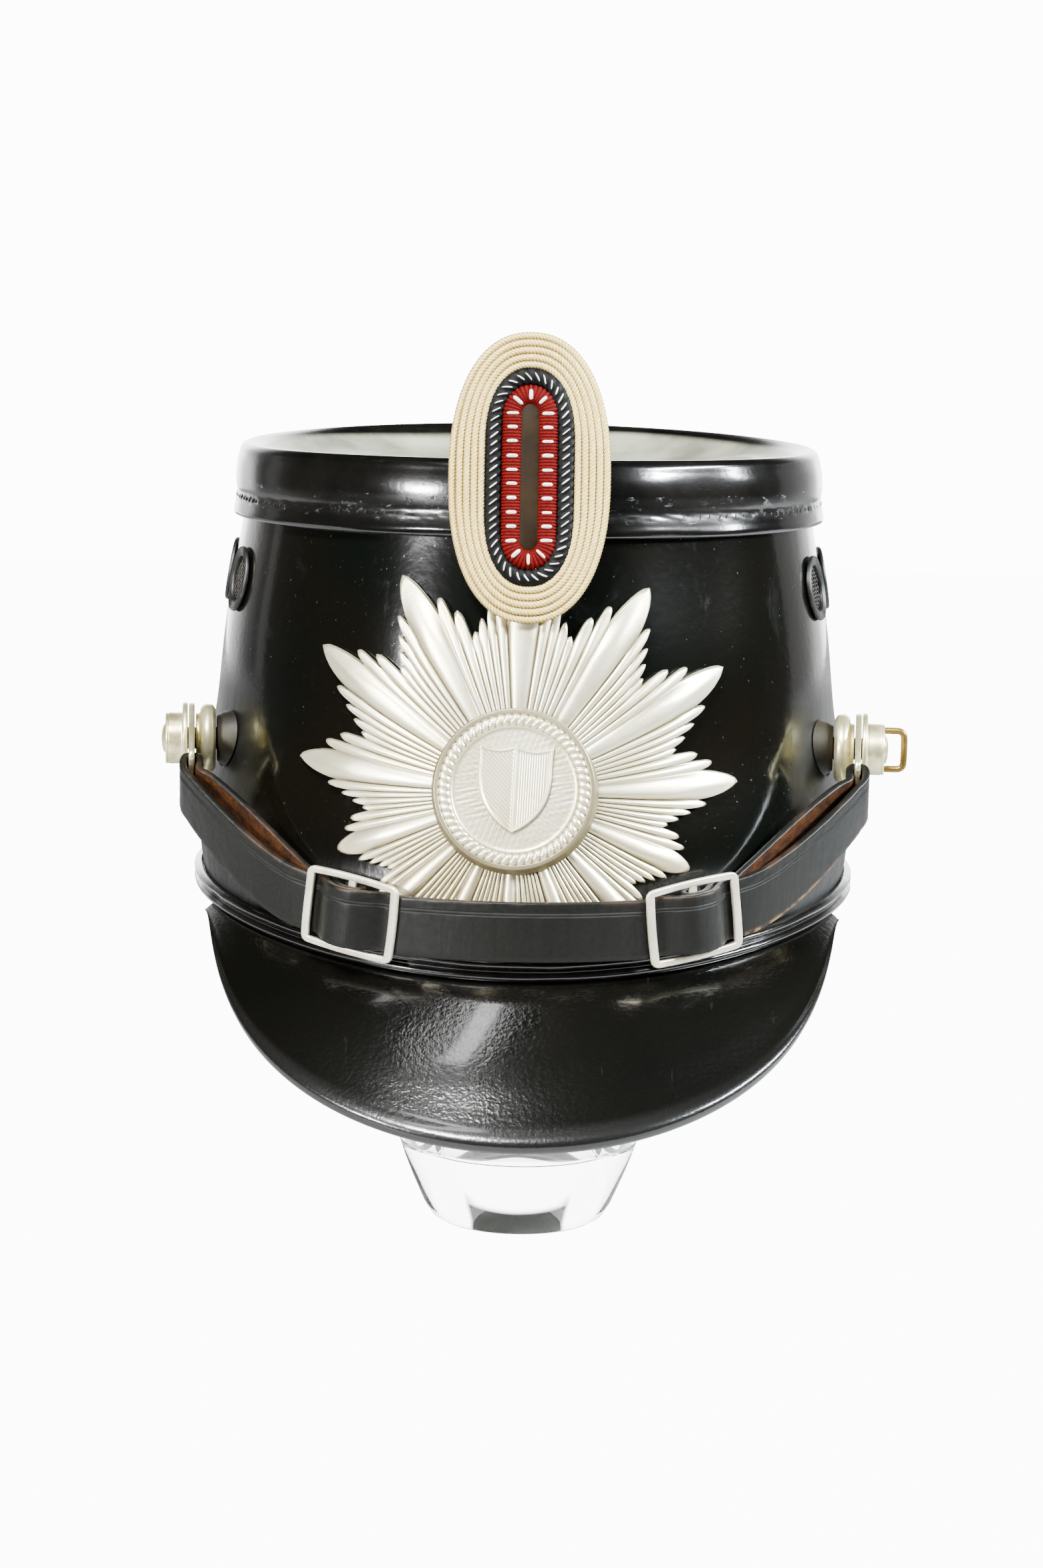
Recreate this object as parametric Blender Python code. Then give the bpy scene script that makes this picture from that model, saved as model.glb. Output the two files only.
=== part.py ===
"""Leather shako on a plain glass stand, in metres, +Z up, front towards -Y.

The origin is the middle of the stand's flat underside.
Run with blender --background --python part.py, or from the text editor.
"""
import math

import bmesh
import bpy
import numpy as np

# Clearance between neighbouring pieces
GAP = 0.0003
# Number of sides round the crown, shared by every ring that nests on it
SIDES = 40
# Points along a visor's seam, and sides of the ventilators, posts and ovals
VISOR_POINTS = 23
VENT_SIDES = 12
POST_SIDES = 16
OVAL_SIDES = 28

# Glass stand: a plain vessel with a thick base
STAND_HEIGHT = 0.2143
STAND_RIM_RADIUS = 0.0450
STAND_WALL = 0.0030
STAND_BASE = 0.0190
STAND_SIDES = 28

# Crown shell: a leather tube, wider at its lower edge
SHELL_WIDTH_LOW = 0.1812
SHELL_LENGTH_LOW = 0.2110
SHELL_WIDTH_TOP = 0.1562
SHELL_LENGTH_TOP = 0.1735
SHELL_WALL = 0.0022
CROWN_HEIGHT = 0.1285
# The lower edge hangs lower at the front and the back than at the sides
EDGE_DIP = 0.0085
# The top's crest stands higher at the front and the back, and rises to the back
TOP_SADDLE = 0.0012
TOP_TILT = 0.0032

# Crown top: a sunken leather lid with a rolled rim and a skirt over the shell
TOP_WALL = 0.0022
DISH_DEPTH = 0.0075
DISH_WIDTH = 0.0220
DISH_WAVE = 0.0008
RIM_ROLL = 0.0050
SKIRT_HEIGHT = 0.0195
SKIRT_BULGE = 0.0031

# Head band: a strip with two beads round the shell's lower edge
BAND_HEIGHT = 0.0056
BAND_BULGE = 0.0030

# Visors, measured from their seam under the head band
VISOR_WALL = 0.0028
VISOR_LIP = 0.0006
VISOR_ARCH = 0.0015
VISOR_ROOT = 0.05
VISOR_FULLNESS = 1.5
FRONT_REACH = 0.0330
FRONT_DROP = 0.0350
FRONT_FLARE = 0.0435
FRONT_SPREAD = 67.0
BACK_REACH = 0.0190
BACK_DROP = 0.0150
BACK_FLARE = 0.0200
BACK_SPREAD = 47.0

# Ventilators, two on each side
VENT_RADIUS = 0.0090
VENT_BARREL = 0.0070
VENT_RIM = 0.0011
VENT_WALL = 0.0007
VENT_MESH = 0.0006
VENT_DROP = 0.0375
VENT_FRONT_ANGLE = 71.0
VENT_SPACING = 0.0350

# Side posts that carry the chin strap
POST_ANGLE = 66.5
POST_RISE = 0.0440
POST_TURN = 6.0
SHANK_RADIUS = 0.0030
SHANK_INSIDE = 0.0025
SEAT_RADIUS = 0.0078
SEAT_HEIGHT = 0.0030
ROSETTE_RADIUS = 0.0094
ROSETTE_HEIGHT = 0.0042
NECK_RADIUS = 0.0068
NECK_HEIGHT = 0.0012
FLANGE_RADIUS = 0.0098
FLANGE_HEIGHT = 0.0014
NUT_RADIUS = 0.0070
NUT_HEIGHT = 0.0046
DOME_RADIUS = 0.0040
DOME_HEIGHT = 0.0011

# Lug plate, with the slot that the strap folds through
LUG_WALL = 0.0016
LUG_RADIUS = 0.0096
LUG_LENGTH = 0.0180
LUG_ANGLE = 33.0
LUG_BAR = 0.0022
LUG_SIDE = 0.0020
SLOT_WIDTH = 0.0042

# Wire hook on the right nut
HOOK_WIRE = 0.0018
HOOK_REACH = 0.0062
HOOK_HEIGHT = 0.0123

# Chin strap
STRAP_WIDTH = 0.0157
STRAP_WALL = 0.0019
STRAP_CLEAR = 0.0006
STRAP_EASE = 0.0010
STRAP_EXIT = 0.0018
STRAP_TAIL = 0.0030
# Points of a free run and of the front run, and a free run's handles at its two ends
RUN_POINTS = 8
FRONT_POINTS = 8
RUN_HANDLES = (0.20, 0.25)
# The free runs lean inwards at the lug, and the inner one bows towards the crown
STRAP_LEAN = 0.45
INNER_BOW = 0.0042
INNER_RISE = 0.0030

# Slide buckles
BUCKLE_LENGTH = 0.0280
BUCKLE_BAR = 0.0023
BUCKLE_SIDE = 0.0018
BUCKLE_WALL = 0.0012
BUCKLE_CORNER = 0.0025
BUCKLE_ANGLE = 26.7
BUCKLE_SLOPE = 7.0
BUCKLE_RISE = 0.0018

# Star plate and its medallion
# The spare height between the head band and the cockade's pin, and its share below the star
STAR_CLEAR = 0.0008
STAR_SPARE_LOW = 0.18
STAR_SHIFT = -0.0024
STAR_TURN = 2.0
STAR_RADIUS = 0.0625
STAR_SEAT = 0.0008
STAR_WALL = 0.0010
STAR_RELIEF = 0.0014
MEDAL_RADIUS = 0.0207
MEDAL_WALL = 0.0018
MEDAL_RIM = 0.0010
MEDAL_RIM_WIDTH = 0.0044
SHIELD_WIDTH = 0.0190
SHIELD_HEIGHT = 0.0220
SHIELD_WALL = 0.0009

# Cockade
COCKADE_WIDTH = 0.0410
COCKADE_HEIGHT = 0.0735
COCKADE_DROP = 0.0053
COCKADE_DOME = 0.0042
COCKADE_EDGE = 0.0024
CORD_BAND_WIDTH = 0.0092
DARK_RING_WIDTH = 0.0043
RED_RING_WIDTH = 0.0046
SLOT_PLATE_DROP = 0.0009
PIN_RADIUS = 0.0010
PIN_DROP = 0.0030
PIN_INSIDE = 0.0030

# Crown shell's side line: share of its height, share of its taper
SHELL_SECTIONS = (
    (0.00, 0.00),
    (0.09, -0.14),
    (0.22, -0.06),
    (0.42, 0.25),
    (0.58, 0.40),
    (0.84, 0.80),
    (1.00, 1.00),
)

# Stand's outside: share of its height, share of its rim radius
STAND_SECTIONS = (
    (0.000, 0.545),
    (0.010, 0.580),
    (0.045, 0.660),
    (0.093, 0.750),
    (0.170, 0.845),
    (0.300, 0.930),
    (0.550, 0.975),
    (1.000, 1.000),
)

# Crown top outside its crest: share of the skirt's bulge, share of its height
SKIRT_SECTIONS = (
    (0.40, 0.00),
    (0.85, 0.05),
    (1.00, 0.17),
    (1.05, 0.42),
    (0.80, 0.68),
    (0.72, 0.80),
    (0.84, 0.92),
    (0.76, 1.00),
)

# Crown top inside its crest: share of the dish's width, share of its depth
DISH_SECTIONS = (
    (0.05, 0.05),
    (0.16, 0.24),
    (0.36, 0.62),
    (0.66, 0.90),
    (1.00, 1.00),
)

# Head band from its lower edge: share of its bulge, share of its height
BAND_SECTIONS = (
    (0.50, 0.00),
    (0.95, 0.10),
    (1.00, 0.27),
    (0.62, 0.50),
    (0.80, 0.72),
    (0.66, 0.90),
    (0.38, 1.00),
)

# Star's rays on one side of its upright axis: angle, share of the radius
STAR_RAYS = (
    (0.0, 0.98),
    (31.0, 1.00),
    (59.5, 1.04),
    (87.5, 1.00),
    (112.5, 0.82),
    (136.0, 0.84),
    (158.0, 0.69),
    (180.0, 0.63),
)

# Outline from one ray to the next: share of the way, share of the radius, ridge
RAY_STEPS = (
    (0.00, 1.00, 1.00),
    (0.21, 0.86, 0.55),
    (0.40, 0.75, 0.40),
    (0.58, 0.66, 0.10),
    (0.68, 0.79, 0.45),
    (0.81, 0.87, 0.55),
)

# Star from its middle outwards: share of the radius, share of the relief
STAR_RINGS = (
    (0.25, 1.00),
    (0.50, 1.00),
    (0.76, 0.80),
    (1.00, 0.25),
)

# Shield's right half from its point: share of the half width, share of the height
SHIELD_OUTLINE = (
    (0.00, 0.00),
    (0.45, 0.13),
    (0.80, 0.34),
    (1.00, 0.62),
    (1.00, 1.00),
)


def clear_scene():
    for thing in list(bpy.data.objects):
        bpy.data.objects.remove(thing, do_unlink=True)


def make_material(name, colour, roughness, metallic=0.0, see_through=0.0):
    material = bpy.data.materials.new(name)
    material.use_nodes = True
    shader = material.node_tree.nodes["Principled BSDF"]
    shader.inputs["Base Color"].default_value = (*colour, 1.0)
    shader.inputs["Roughness"].default_value = roughness
    shader.inputs["Metallic"].default_value = metallic
    shader.inputs["Transmission Weight"].default_value = see_through
    material.diffuse_color = (*colour, 1.0)
    return material


def add_solid(name, points, faces, material, sharp=35.0):
    """A closed mesh object with its faces turned outwards."""
    mesh = bpy.data.meshes.new(name)
    mesh.from_pydata([tuple(p) for p in points], [], faces)
    build = bmesh.new()
    build.from_mesh(mesh)
    bmesh.ops.recalc_face_normals(build, faces=build.faces)
    build.to_mesh(mesh)
    build.free()
    mesh.materials.append(material)
    mesh.shade_smooth()
    mesh.set_sharp_from_angle(angle=math.radians(sharp))
    thing = bpy.data.objects.new(name, mesh)
    bpy.context.scene.collection.objects.link(thing)
    return thing


def loft(name, rings, material, closed=False, sharp=35.0):
    """Joins rings of equal count; a ring of one point is a pole.

    An open row of rings is capped at its ends, a closed one meets its start."""
    rings = [np.atleast_2d(ring) for ring in rings]
    count = max(len(ring) for ring in rings)
    starts = np.cumsum([0] + [len(ring) for ring in rings])
    faces = []
    pairs = list(range(len(rings) - 1))
    if closed:
        pairs.append(len(rings) - 1)
    for i in pairs:
        j = (i + 1) % len(rings)
        for k in range(count):
            n = (k + 1) % count
            low = [starts[i] + k, starts[i] + n]
            high = [starts[j] + n, starts[j] + k]
            if len(rings[i]) == 1:
                low = [starts[i]]
            if len(rings[j]) == 1:
                high = [starts[j]]
            faces.append(tuple(int(v) for v in low + high))
    if not closed:
        for i in (0, len(rings) - 1):
            if len(rings[i]) > 1:
                faces.append(tuple(int(starts[i] + k) for k in range(count)))
    return add_solid(name, np.concatenate(rings), faces, material, sharp)


def cut(target, cutter):
    """Cuts a hidden closed shape out of an object."""
    cutter.hide_render = True
    cutter.display_type = "WIRE"
    boolean = target.modifiers.new(cutter.name, "BOOLEAN")
    boolean.operation = "DIFFERENCE"
    boolean.solver = "EXACT"
    boolean.object = cutter


def unit(vector):
    vector = np.asarray(vector, float)
    return vector / np.linalg.norm(vector, axis=-1, keepdims=True)


def mirrored(points, side):
    """The same points on the right (side 1) or across the middle (side -1)."""
    return np.asarray(points) * (side, 1, 1)


def circle(radius, count):
    angle = np.arange(count) * 2 * math.pi / count
    return np.stack([radius * np.cos(angle), radius * np.sin(angle)], axis=-1)


# The crown's surface, on which almost everything is placed

CREST = STAND_HEIGHT + GAP + TOP_WALL + DISH_DEPTH
EDGE = CREST - CROWN_HEIGHT


def edge_height(theta):
    """Lower edge of the crown at an angle from the front."""
    return EDGE - EDGE_DIP / 2 * np.cos(2 * theta)


def crest_shift(theta):
    """How far the crest lies above its mean height."""
    return TOP_SADDLE / 2 * np.cos(2 * theta) - TOP_TILT / 2 * np.cos(theta)


def crest_height(theta):
    return CREST + crest_shift(theta)


def crown_half(theta, z):
    """Half width and half length of the crown at a height."""
    low = edge_height(theta)
    share = (z - low) / (crest_height(theta) - low)
    rows = np.array(SHELL_SECTIONS)
    taper = np.interp(share, rows[:, 0], rows[:, 1])
    taper = taper + np.minimum(share, 0) + np.maximum(share - 1, 0)
    wide = SHELL_WIDTH_LOW + taper * (SHELL_WIDTH_TOP - SHELL_WIDTH_LOW)
    long = SHELL_LENGTH_LOW + taper * (SHELL_LENGTH_TOP - SHELL_LENGTH_LOW)
    return wide / 2, long / 2


def crown_point(theta, z, out=0.0):
    """Point at an angle from the front (right positive), a height and a distance out."""
    theta, z, out = np.broadcast_arrays(theta, z, out)
    wide, long = crown_half(theta, z)
    return np.stack([(wide + out) * np.sin(theta), -(long + out) * np.cos(theta), z], axis=-1)


def crown_place(point):
    """Angle from the front and distance out of a point near the crown."""
    x, y, z = point
    theta = math.atan2(x, -y)
    out = 0.0
    for _ in range(8):
        wide, long = crown_half(theta, z)
        theta = math.atan2(x / (wide + out), -y / (long + out))
        out = (x - wide * math.sin(theta)) * math.sin(theta)
        out += (-y - long * math.cos(theta)) * math.cos(theta)
    return theta, out


def crown_frame(theta, z):
    """Across, up and outward directions on the crown."""
    step = 0.002
    across = unit(crown_point(theta + step, z) - crown_point(theta - step, z))
    up = unit(crown_point(theta, z + step) - crown_point(theta, z - step))
    outward = unit(np.cross(across, up))
    return across, np.cross(outward, across), outward


def ring_angles():
    return np.arange(SIDES) * 2 * math.pi / SIDES


def arc_table(z):
    """Angles all round at one height, and the signed arc length from the front to each."""
    theta = np.linspace(-math.pi, math.pi, 721)
    steps = np.linalg.norm(np.diff(crown_point(theta, z), axis=0), axis=1)
    length = np.concatenate([[0], np.cumsum(steps)])
    return theta, length - np.interp(0, theta, length)


def arc_to_angle(arc, z):
    """Angle from the front after a signed run of arc length at one height."""
    theta, length = arc_table(z)
    return np.interp(arc, length, theta)


def place(points, origin, across, up, outward):
    """Local points (across, up, outward) in the model's frame."""
    return origin + np.atleast_2d(points) @ np.stack([across, up, outward])


def flat_ring(outline, height):
    """A flat outline of (across, up) rows at one height outward."""
    return np.column_stack([outline, np.full(len(outline), height)])


def turned(name, profile, frame, count, material, side=1, closed=False, sharp=35.0):
    """Turns (radius, height) rows round the outward axis of a frame."""
    rings = []
    for radius, height in profile:
        local = np.array([[0, 0, height]])
        if radius > 0:
            local = flat_ring(circle(radius, count), height)
        rings.append(mirrored(place(local, *frame), side))
    return loft(name, rings, material, closed=closed, sharp=sharp)


def make_stand(glass):
    def ring(radius, z):
        return flat_ring(circle(radius, STAND_SIDES), z)

    heights = [STAND_HEIGHT * h for h, r in STAND_SECTIONS]
    radii = [STAND_RIM_RADIUS * r for h, r in STAND_SECTIONS]
    hollow = STAND_BASE * 1.2
    rings = [np.array([[0, 0, 0]])]
    rings += [ring(r, z) for z, r in zip(heights, radii)]
    for z in reversed([z for z in heights if z > hollow]):
        rings.append(ring(np.interp(z, heights, radii) - STAND_WALL, z))
    floor_radius = np.interp(hollow, heights, radii) - STAND_WALL
    rings.append(ring(floor_radius, hollow))
    rings.append(ring(floor_radius * 0.86, STAND_BASE))
    rings.append(np.array([[0, 0, STAND_BASE]]))
    return loft("glass_stand", rings, glass)


def make_shell(leather):
    theta = ring_angles()
    low = edge_height(theta)
    top = crest_height(theta) - RIM_ROLL - GAP
    shares = [row[0] for row in SHELL_SECTIONS]
    outer = [crown_point(theta, low + s * (top - low)) for s in shares]
    inner = [crown_point(theta, low + s * (top - low), -SHELL_WALL) for s in shares]
    return loft("crown_shell", outer + inner[::-1], leather, closed=True)


def make_top(leather):
    theta = ring_angles()
    crest = crest_height(theta)
    crest_out = SKIRT_BULGE * SKIRT_SECTIONS[0][0]
    wave = DISH_WAVE * (np.sin(3 * theta + 0.6) + 0.6 * np.sin(5 * theta))

    def dish_ring(width, depth, wall):
        fade = 1 - depth
        points = crown_point(theta, crest, crest_out - DISH_WIDTH * width)
        points[:, 2] = CREST - DISH_DEPTH * depth - wall
        points[:, 2] += crest_shift(theta) * fade + wave * 4 * depth * fade
        return points

    rings = [np.array([[0, 0, CREST - DISH_DEPTH]])]
    rings += [dish_ring(w, d, 0) for w, d in reversed(DISH_SECTIONS)]
    for bulge, drop in SKIRT_SECTIONS:
        rings.append(crown_point(theta, crest - SKIRT_HEIGHT * drop, SKIRT_BULGE * bulge))
    for drop in (SKIRT_HEIGHT, SKIRT_HEIGHT * 0.6, RIM_ROLL):
        rings.append(crown_point(theta, crest - drop, GAP))
    rings.append(crown_point(theta, crest - RIM_ROLL, -SHELL_WALL - GAP))
    rings += [dish_ring(w, d, TOP_WALL) for w, d in DISH_SECTIONS[2:]]
    rings.append(np.array([[0, 0, CREST - DISH_DEPTH - TOP_WALL]]))
    return loft("crown_top", rings, leather)


def make_band(leather):
    theta = ring_angles()
    low = edge_height(theta)
    rings = [crown_point(theta, low + BAND_HEIGHT * h, BAND_BULGE * b) for b, h in BAND_SECTIONS]
    rings.append(crown_point(theta, low + BAND_HEIGHT, GAP))
    rings.append(crown_point(theta, low, GAP))
    return loft("head_band", rings, leather, closed=True, sharp=60)


def make_visor(name, middle, spread, reach, drop, flare, material):
    """A curved peak between its seam under the band and its rim."""
    shares = np.sin(np.linspace(-1, 1, VISOR_POINTS) * math.pi / 2)
    theta = middle + shares * math.radians(spread)
    top_z = edge_height(theta) - GAP
    forward = np.array([math.sin(middle), -math.cos(middle), 0.0])
    sideways = np.array([math.cos(middle), math.sin(middle), 0.0])
    size = np.maximum(np.cos(shares * math.pi / 2), 0)[:, None] ** VISOR_FULLNESS
    size = VISOR_ROOT + (1 - VISOR_ROOT) * size
    run = forward * reach - np.array([0, 0, drop])
    run = size * (run + sideways * flare * np.sin(theta - middle)[:, None])
    seam = crown_point(theta, top_z, BAND_BULGE * 0.6)
    seat = crown_point(theta, top_z, -SHELL_WALL * 0.5)
    along = unit(np.gradient(seam, axis=0))
    lift = unit(np.cross(run, along))
    lift = lift * np.sign(lift[:, 2:3])

    def row(share, rise):
        arch = VISOR_ARCH * 4 * share * (1 - share) * size
        return seam + run * share + lift * (arch + rise)

    top = [seam, row(0.3, 0), row(0.62, 0), row(0.9, 0), row(0.93, VISOR_LIP), row(1, VISOR_LIP)]
    under = [row(1, -VISOR_WALL), row(0.62, -VISOR_WALL), row(0.3, -VISOR_WALL), seat]
    return loft(name, list(np.stack(top + under, axis=1)), material, sharp=50)


def make_vents(shell, paint, mesh_metal):
    z = CREST - VENT_DROP
    front = math.radians(VENT_FRONT_ANGLE)
    rear = arc_to_angle(np.interp(front, *arc_table(z)) + VENT_SPACING, z)
    depth = SHELL_WALL + 2 * GAP
    bore = VENT_BARREL - VENT_WALL
    rim = (
        (VENT_RADIUS, GAP),
        (VENT_RADIUS * 0.94, GAP + VENT_RIM),
        (bore, GAP + VENT_RIM * 0.7),
        (bore, -depth),
        (VENT_BARREL, -depth),
        (VENT_BARREL, GAP),
    )
    screen = bore - GAP
    disc = ((0, 0), (screen, 0), (screen, -VENT_MESH), (0, -VENT_MESH))
    far = 2 * depth
    hole = ((0, far), (VENT_BARREL + GAP, far), (VENT_BARREL + GAP, -far), (0, -far))
    for side, hand in ((1, "right"), (-1, "left")):
        for theta, end in ((front, "front"), (rear, "rear")):
            frame = (crown_point(theta, z), *crown_frame(theta, z))
            turned(f"vent_rim_{hand}_{end}", rim, frame, VENT_SIDES, paint, side, closed=True)
            turned(f"vent_mesh_{hand}_{end}", disc, frame, VENT_SIDES, mesh_metal, side)
            cut(shell, turned(f"cut_vent_{hand}_{end}", hole, frame, VENT_SIDES, paint, side))


def post_frame():
    """Where the right post leaves the crown, and its axes (across points back)."""
    theta = math.radians(POST_ANGLE)
    turn = math.radians(POST_TURN)
    z = edge_height(math.pi / 2) + POST_RISE
    outward = np.array([math.cos(turn), -math.sin(turn), 0.0])
    up = np.array([0.0, 0.0, 1.0])
    return crown_point(theta, z), np.cross(up, outward), up, outward


def post_levels():
    """Heights along the post, each piece a gap above the last."""
    rosette = SEAT_HEIGHT + GAP
    lug = rosette + ROSETTE_HEIGHT + NECK_HEIGHT + GAP
    return rosette, lug, lug + LUG_WALL + GAP


def seat_on_crown(points, outward, out):
    """Slides points along one direction until they lie a distance off the crown."""
    moved = np.array(points, float)
    for i in range(len(moved)):
        for _ in range(10):
            short = out - crown_place(moved[i])[1]
            moved[i] = moved[i] + outward * short
    return moved


def make_posts(shell, metal):
    frame = post_frame()
    outward = frame[3]
    rosette, _, nut = post_levels()
    clear = SHANK_RADIUS + GAP
    shank_top = nut + NUT_HEIGHT * 0.6
    inside = -SHELL_WALL - SHANK_INSIDE
    neck = rosette + ROSETTE_HEIGHT
    rosette_shape = (
        (clear, rosette),
        (ROSETTE_RADIUS * 0.86, rosette),
        (ROSETTE_RADIUS, rosette + ROSETTE_HEIGHT * 0.25),
        (ROSETTE_RADIUS, rosette + ROSETTE_HEIGHT * 0.75),
        (ROSETTE_RADIUS * 0.88, neck),
        (NECK_RADIUS, neck),
        (NECK_RADIUS, neck + NECK_HEIGHT),
        (clear, neck + NECK_HEIGHT),
    )
    nut_top = nut + FLANGE_HEIGHT + NUT_HEIGHT
    nut_shape = (
        (0, shank_top + GAP),
        (clear, shank_top + GAP),
        (clear, nut),
        (FLANGE_RADIUS, nut),
        (FLANGE_RADIUS, nut + FLANGE_HEIGHT),
        (NUT_RADIUS, nut + FLANGE_HEIGHT),
        (NUT_RADIUS, nut_top),
        (DOME_RADIUS, nut_top),
        (DOME_RADIUS * 0.7, nut_top + DOME_HEIGHT * 0.8),
        (0, nut_top + DOME_HEIGHT),
    )
    far = 2 * SEAT_RADIUS
    hole = ((0, far), (clear, far), (clear, -far), (0, -far))

    def ring(radius, height):
        return place(flat_ring(circle(radius, POST_SIDES), height), *frame)

    seat = [
        place([0, 0, shank_top], *frame),
        ring(SHANK_RADIUS, shank_top),
        ring(SHANK_RADIUS, SEAT_HEIGHT),
        ring(SEAT_RADIUS * 0.8, SEAT_HEIGHT),
        seat_on_crown(ring(SEAT_RADIUS, 0), outward, GAP),
        seat_on_crown(ring(SHANK_RADIUS, 0), outward, GAP),
        ring(SHANK_RADIUS, inside),
        place([0, 0, inside], *frame),
    ]
    for side, hand in ((1, "right"), (-1, "left")):
        loft(f"post_seat_{hand}", [mirrored(points, side) for points in seat], metal)
        turned(f"post_rosette_{hand}", rosette_shape, frame, POST_SIDES, metal, side, closed=True)
        turned(f"post_nut_{hand}", nut_shape, frame, POST_SIDES, metal, side)
        cut(shell, turned(f"cut_post_{hand}", hole, frame, POST_SIDES, metal, side))


def lug_frame():
    """Middle of the lug's front bar: along (to the strap), outward and across."""
    origin, back, up, outward = post_frame()
    angle = math.radians(LUG_ANGLE)
    along = -back * math.cos(angle) - up * math.sin(angle)
    across = up * math.cos(angle) - back * math.sin(angle)
    level = post_levels()[1] + LUG_WALL / 2
    return origin + outward * level + along * LUG_LENGTH, along, across, outward


def slab(name, outline, half_wall, frame, side, material):
    """A flat outline given the same thickness to both sides of its frame."""
    rings = [place(flat_ring(outline, h), *frame) for h in (-half_wall, half_wall)]
    return loft(name, [mirrored(ring, side) for ring in rings], material)


def make_lugs(metal):
    """A round plate on the post, drawn out into a slotted end."""
    origin, along, across, outward = lug_frame()
    half = STRAP_WIDTH / 2 + STRAP_CLEAR
    side_out = half + LUG_SIDE
    front = LUG_BAR / 2
    slot_back = -front - SLOT_WIDTH
    shoulder = slot_back - LUG_SIDE
    head = math.pi / 2 + np.linspace(0, math.pi, 9)
    outline = [(LUG_RADIUS * math.cos(a) - LUG_LENGTH, LUG_RADIUS * math.sin(a)) for a in head]
    outline.append((shoulder, -side_out))
    for sign in (-1, 1):
        start = -math.pi / 2 if sign < 0 else 0.0
        for angle in np.linspace(start, start + math.pi / 2, 4):
            x = front - LUG_SIDE + LUG_SIDE * math.cos(angle)
            outline.append((x, sign * half + LUG_SIDE * math.sin(angle)))
    outline.append((shoulder, side_out))
    slot = np.array([(slot_back, -half), (-front, -half), (-front, half), (slot_back, half)])
    bore = circle(SHANK_RADIUS + GAP, POST_SIDES) - (LUG_LENGTH, 0)
    frame = (origin, along, across, outward)
    for side, hand in ((1, "right"), (-1, "left")):
        plate = slab(f"lug_plate_{hand}", np.array(outline), LUG_WALL / 2, frame, side, metal)
        cut(plate, slab(f"cut_slot_{hand}", slot, LUG_WALL, frame, side, metal))
        cut(plate, slab(f"cut_bore_{hand}", bore, LUG_WALL, frame, side, metal))


def make_hook(brass):
    """A bent wire standing out from the right nut's face."""
    count = 8
    origin, back, up, outward = post_frame()
    face = post_levels()[2] + FLANGE_HEIGHT + NUT_HEIGHT
    half = HOOK_HEIGHT / 2 - HOOK_WIRE / 2
    reach = face + HOOK_REACH - HOOK_WIRE / 2
    bend = HOOK_WIRE
    path = [(-half, face + GAP)]
    for step in range(4):
        angle = math.pi / 2 * step / 3
        path.append((-half + bend * (1 - math.cos(angle)), reach - bend * (1 - math.sin(angle))))
    path += [(-x, y) for x, y in reversed(path)]
    path = np.array(path)
    line = origin + path[:, :1] * up + path[:, 1:] * outward
    tangent = unit(np.gradient(line, axis=0))
    normal = np.cross(back, tangent)
    rings = []
    for point, sideways in zip(line, normal):
        flat = circle(HOOK_WIRE / 2, count)
        rings.append(point + flat[:, :1] * back + flat[:, 1:] * sideways)
    return loft("strap_hook", rings, brass)


# Centre line's distance from what it bends round, and from the next layer
STRAP_TURN = GAP + STRAP_WALL / 2
STRAP_PITCH = GAP + STRAP_WALL


def strap_middle():
    """Height of the strap's middle run, just above the head band."""
    return edge_height(0) + BAND_HEIGHT + STRAP_CLEAR + STRAP_WIDTH / 2


def star_top():
    """Distance out of the highest ridge of the star."""
    return STAR_SEAT + STAR_WALL + STAR_RELIEF


def buckle_frame():
    """Middle of the right buckle: along the strap, across it and outward."""
    theta = math.radians(BUCKLE_ANGLE)
    z = strap_middle() + BUCKLE_RISE
    side, up, outward = crown_frame(theta, z)
    slope = math.radians(BUCKLE_SLOPE)
    along = side * math.cos(slope) + up * math.sin(slope)
    across = up * math.cos(slope) - side * math.sin(slope)
    ground = crown_point(theta, z)
    middle_out = star_top() + STRAP_TURN
    edge = ground - along * BUCKLE_LENGTH / 2
    fall = crown_place(edge)[1]
    lift = middle_out - fall + BUCKLE_WALL / 2 + STRAP_TURN
    return ground + outward * lift, along, across, outward


def wrap_points(bar_width, bar_wall):
    """Round the far side of a bar, from above it to below, as (along, outward)."""
    points = []
    for corner, start in ((1, 90), (-1, 180)):
        for step in range(3):
            angle = math.radians(start + 45 * step)
            x = -bar_width / 2 + STRAP_TURN * math.cos(angle)
            points.append((x, corner * bar_wall / 2 + STRAP_TURN * math.sin(angle)))
    return points


def free_run(start, start_way, end, end_way, bow):
    """Points of a smooth run between two ends with given directions, and their shares."""
    length = np.linalg.norm(end - start)
    a = start + start_way * length * RUN_HANDLES[0] + bow
    b = end - end_way * length * RUN_HANDLES[1] + bow
    t = np.linspace(0, 1, RUN_POINTS + 2)[1:-1, None]
    near = start * (1 - t) ** 3 + 3 * a * t * (1 - t) ** 2
    far = 3 * b * t ** 2 * (1 - t) + end * t ** 3
    return near + far, t[:, 0]


def inner_fold():
    """The doubled layer inside the buckle, from the bar out to the free run."""
    over = BUCKLE_WALL / 2 + STRAP_TURN
    under = over + STRAP_PITCH
    start = BUCKLE_BAR / 2
    end = BUCKLE_LENGTH / 2 - BUCKLE_BAR - STRAP_EASE
    share = np.linspace(0, 1, 7)
    ease = share * share * (3 - 2 * share)
    run = np.column_stack([start + (end - start) * share, over - (over + under) * ease])
    return np.vstack([run, [(BUCKLE_LENGTH / 2 + STRAP_EXIT, -under)]])


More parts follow.
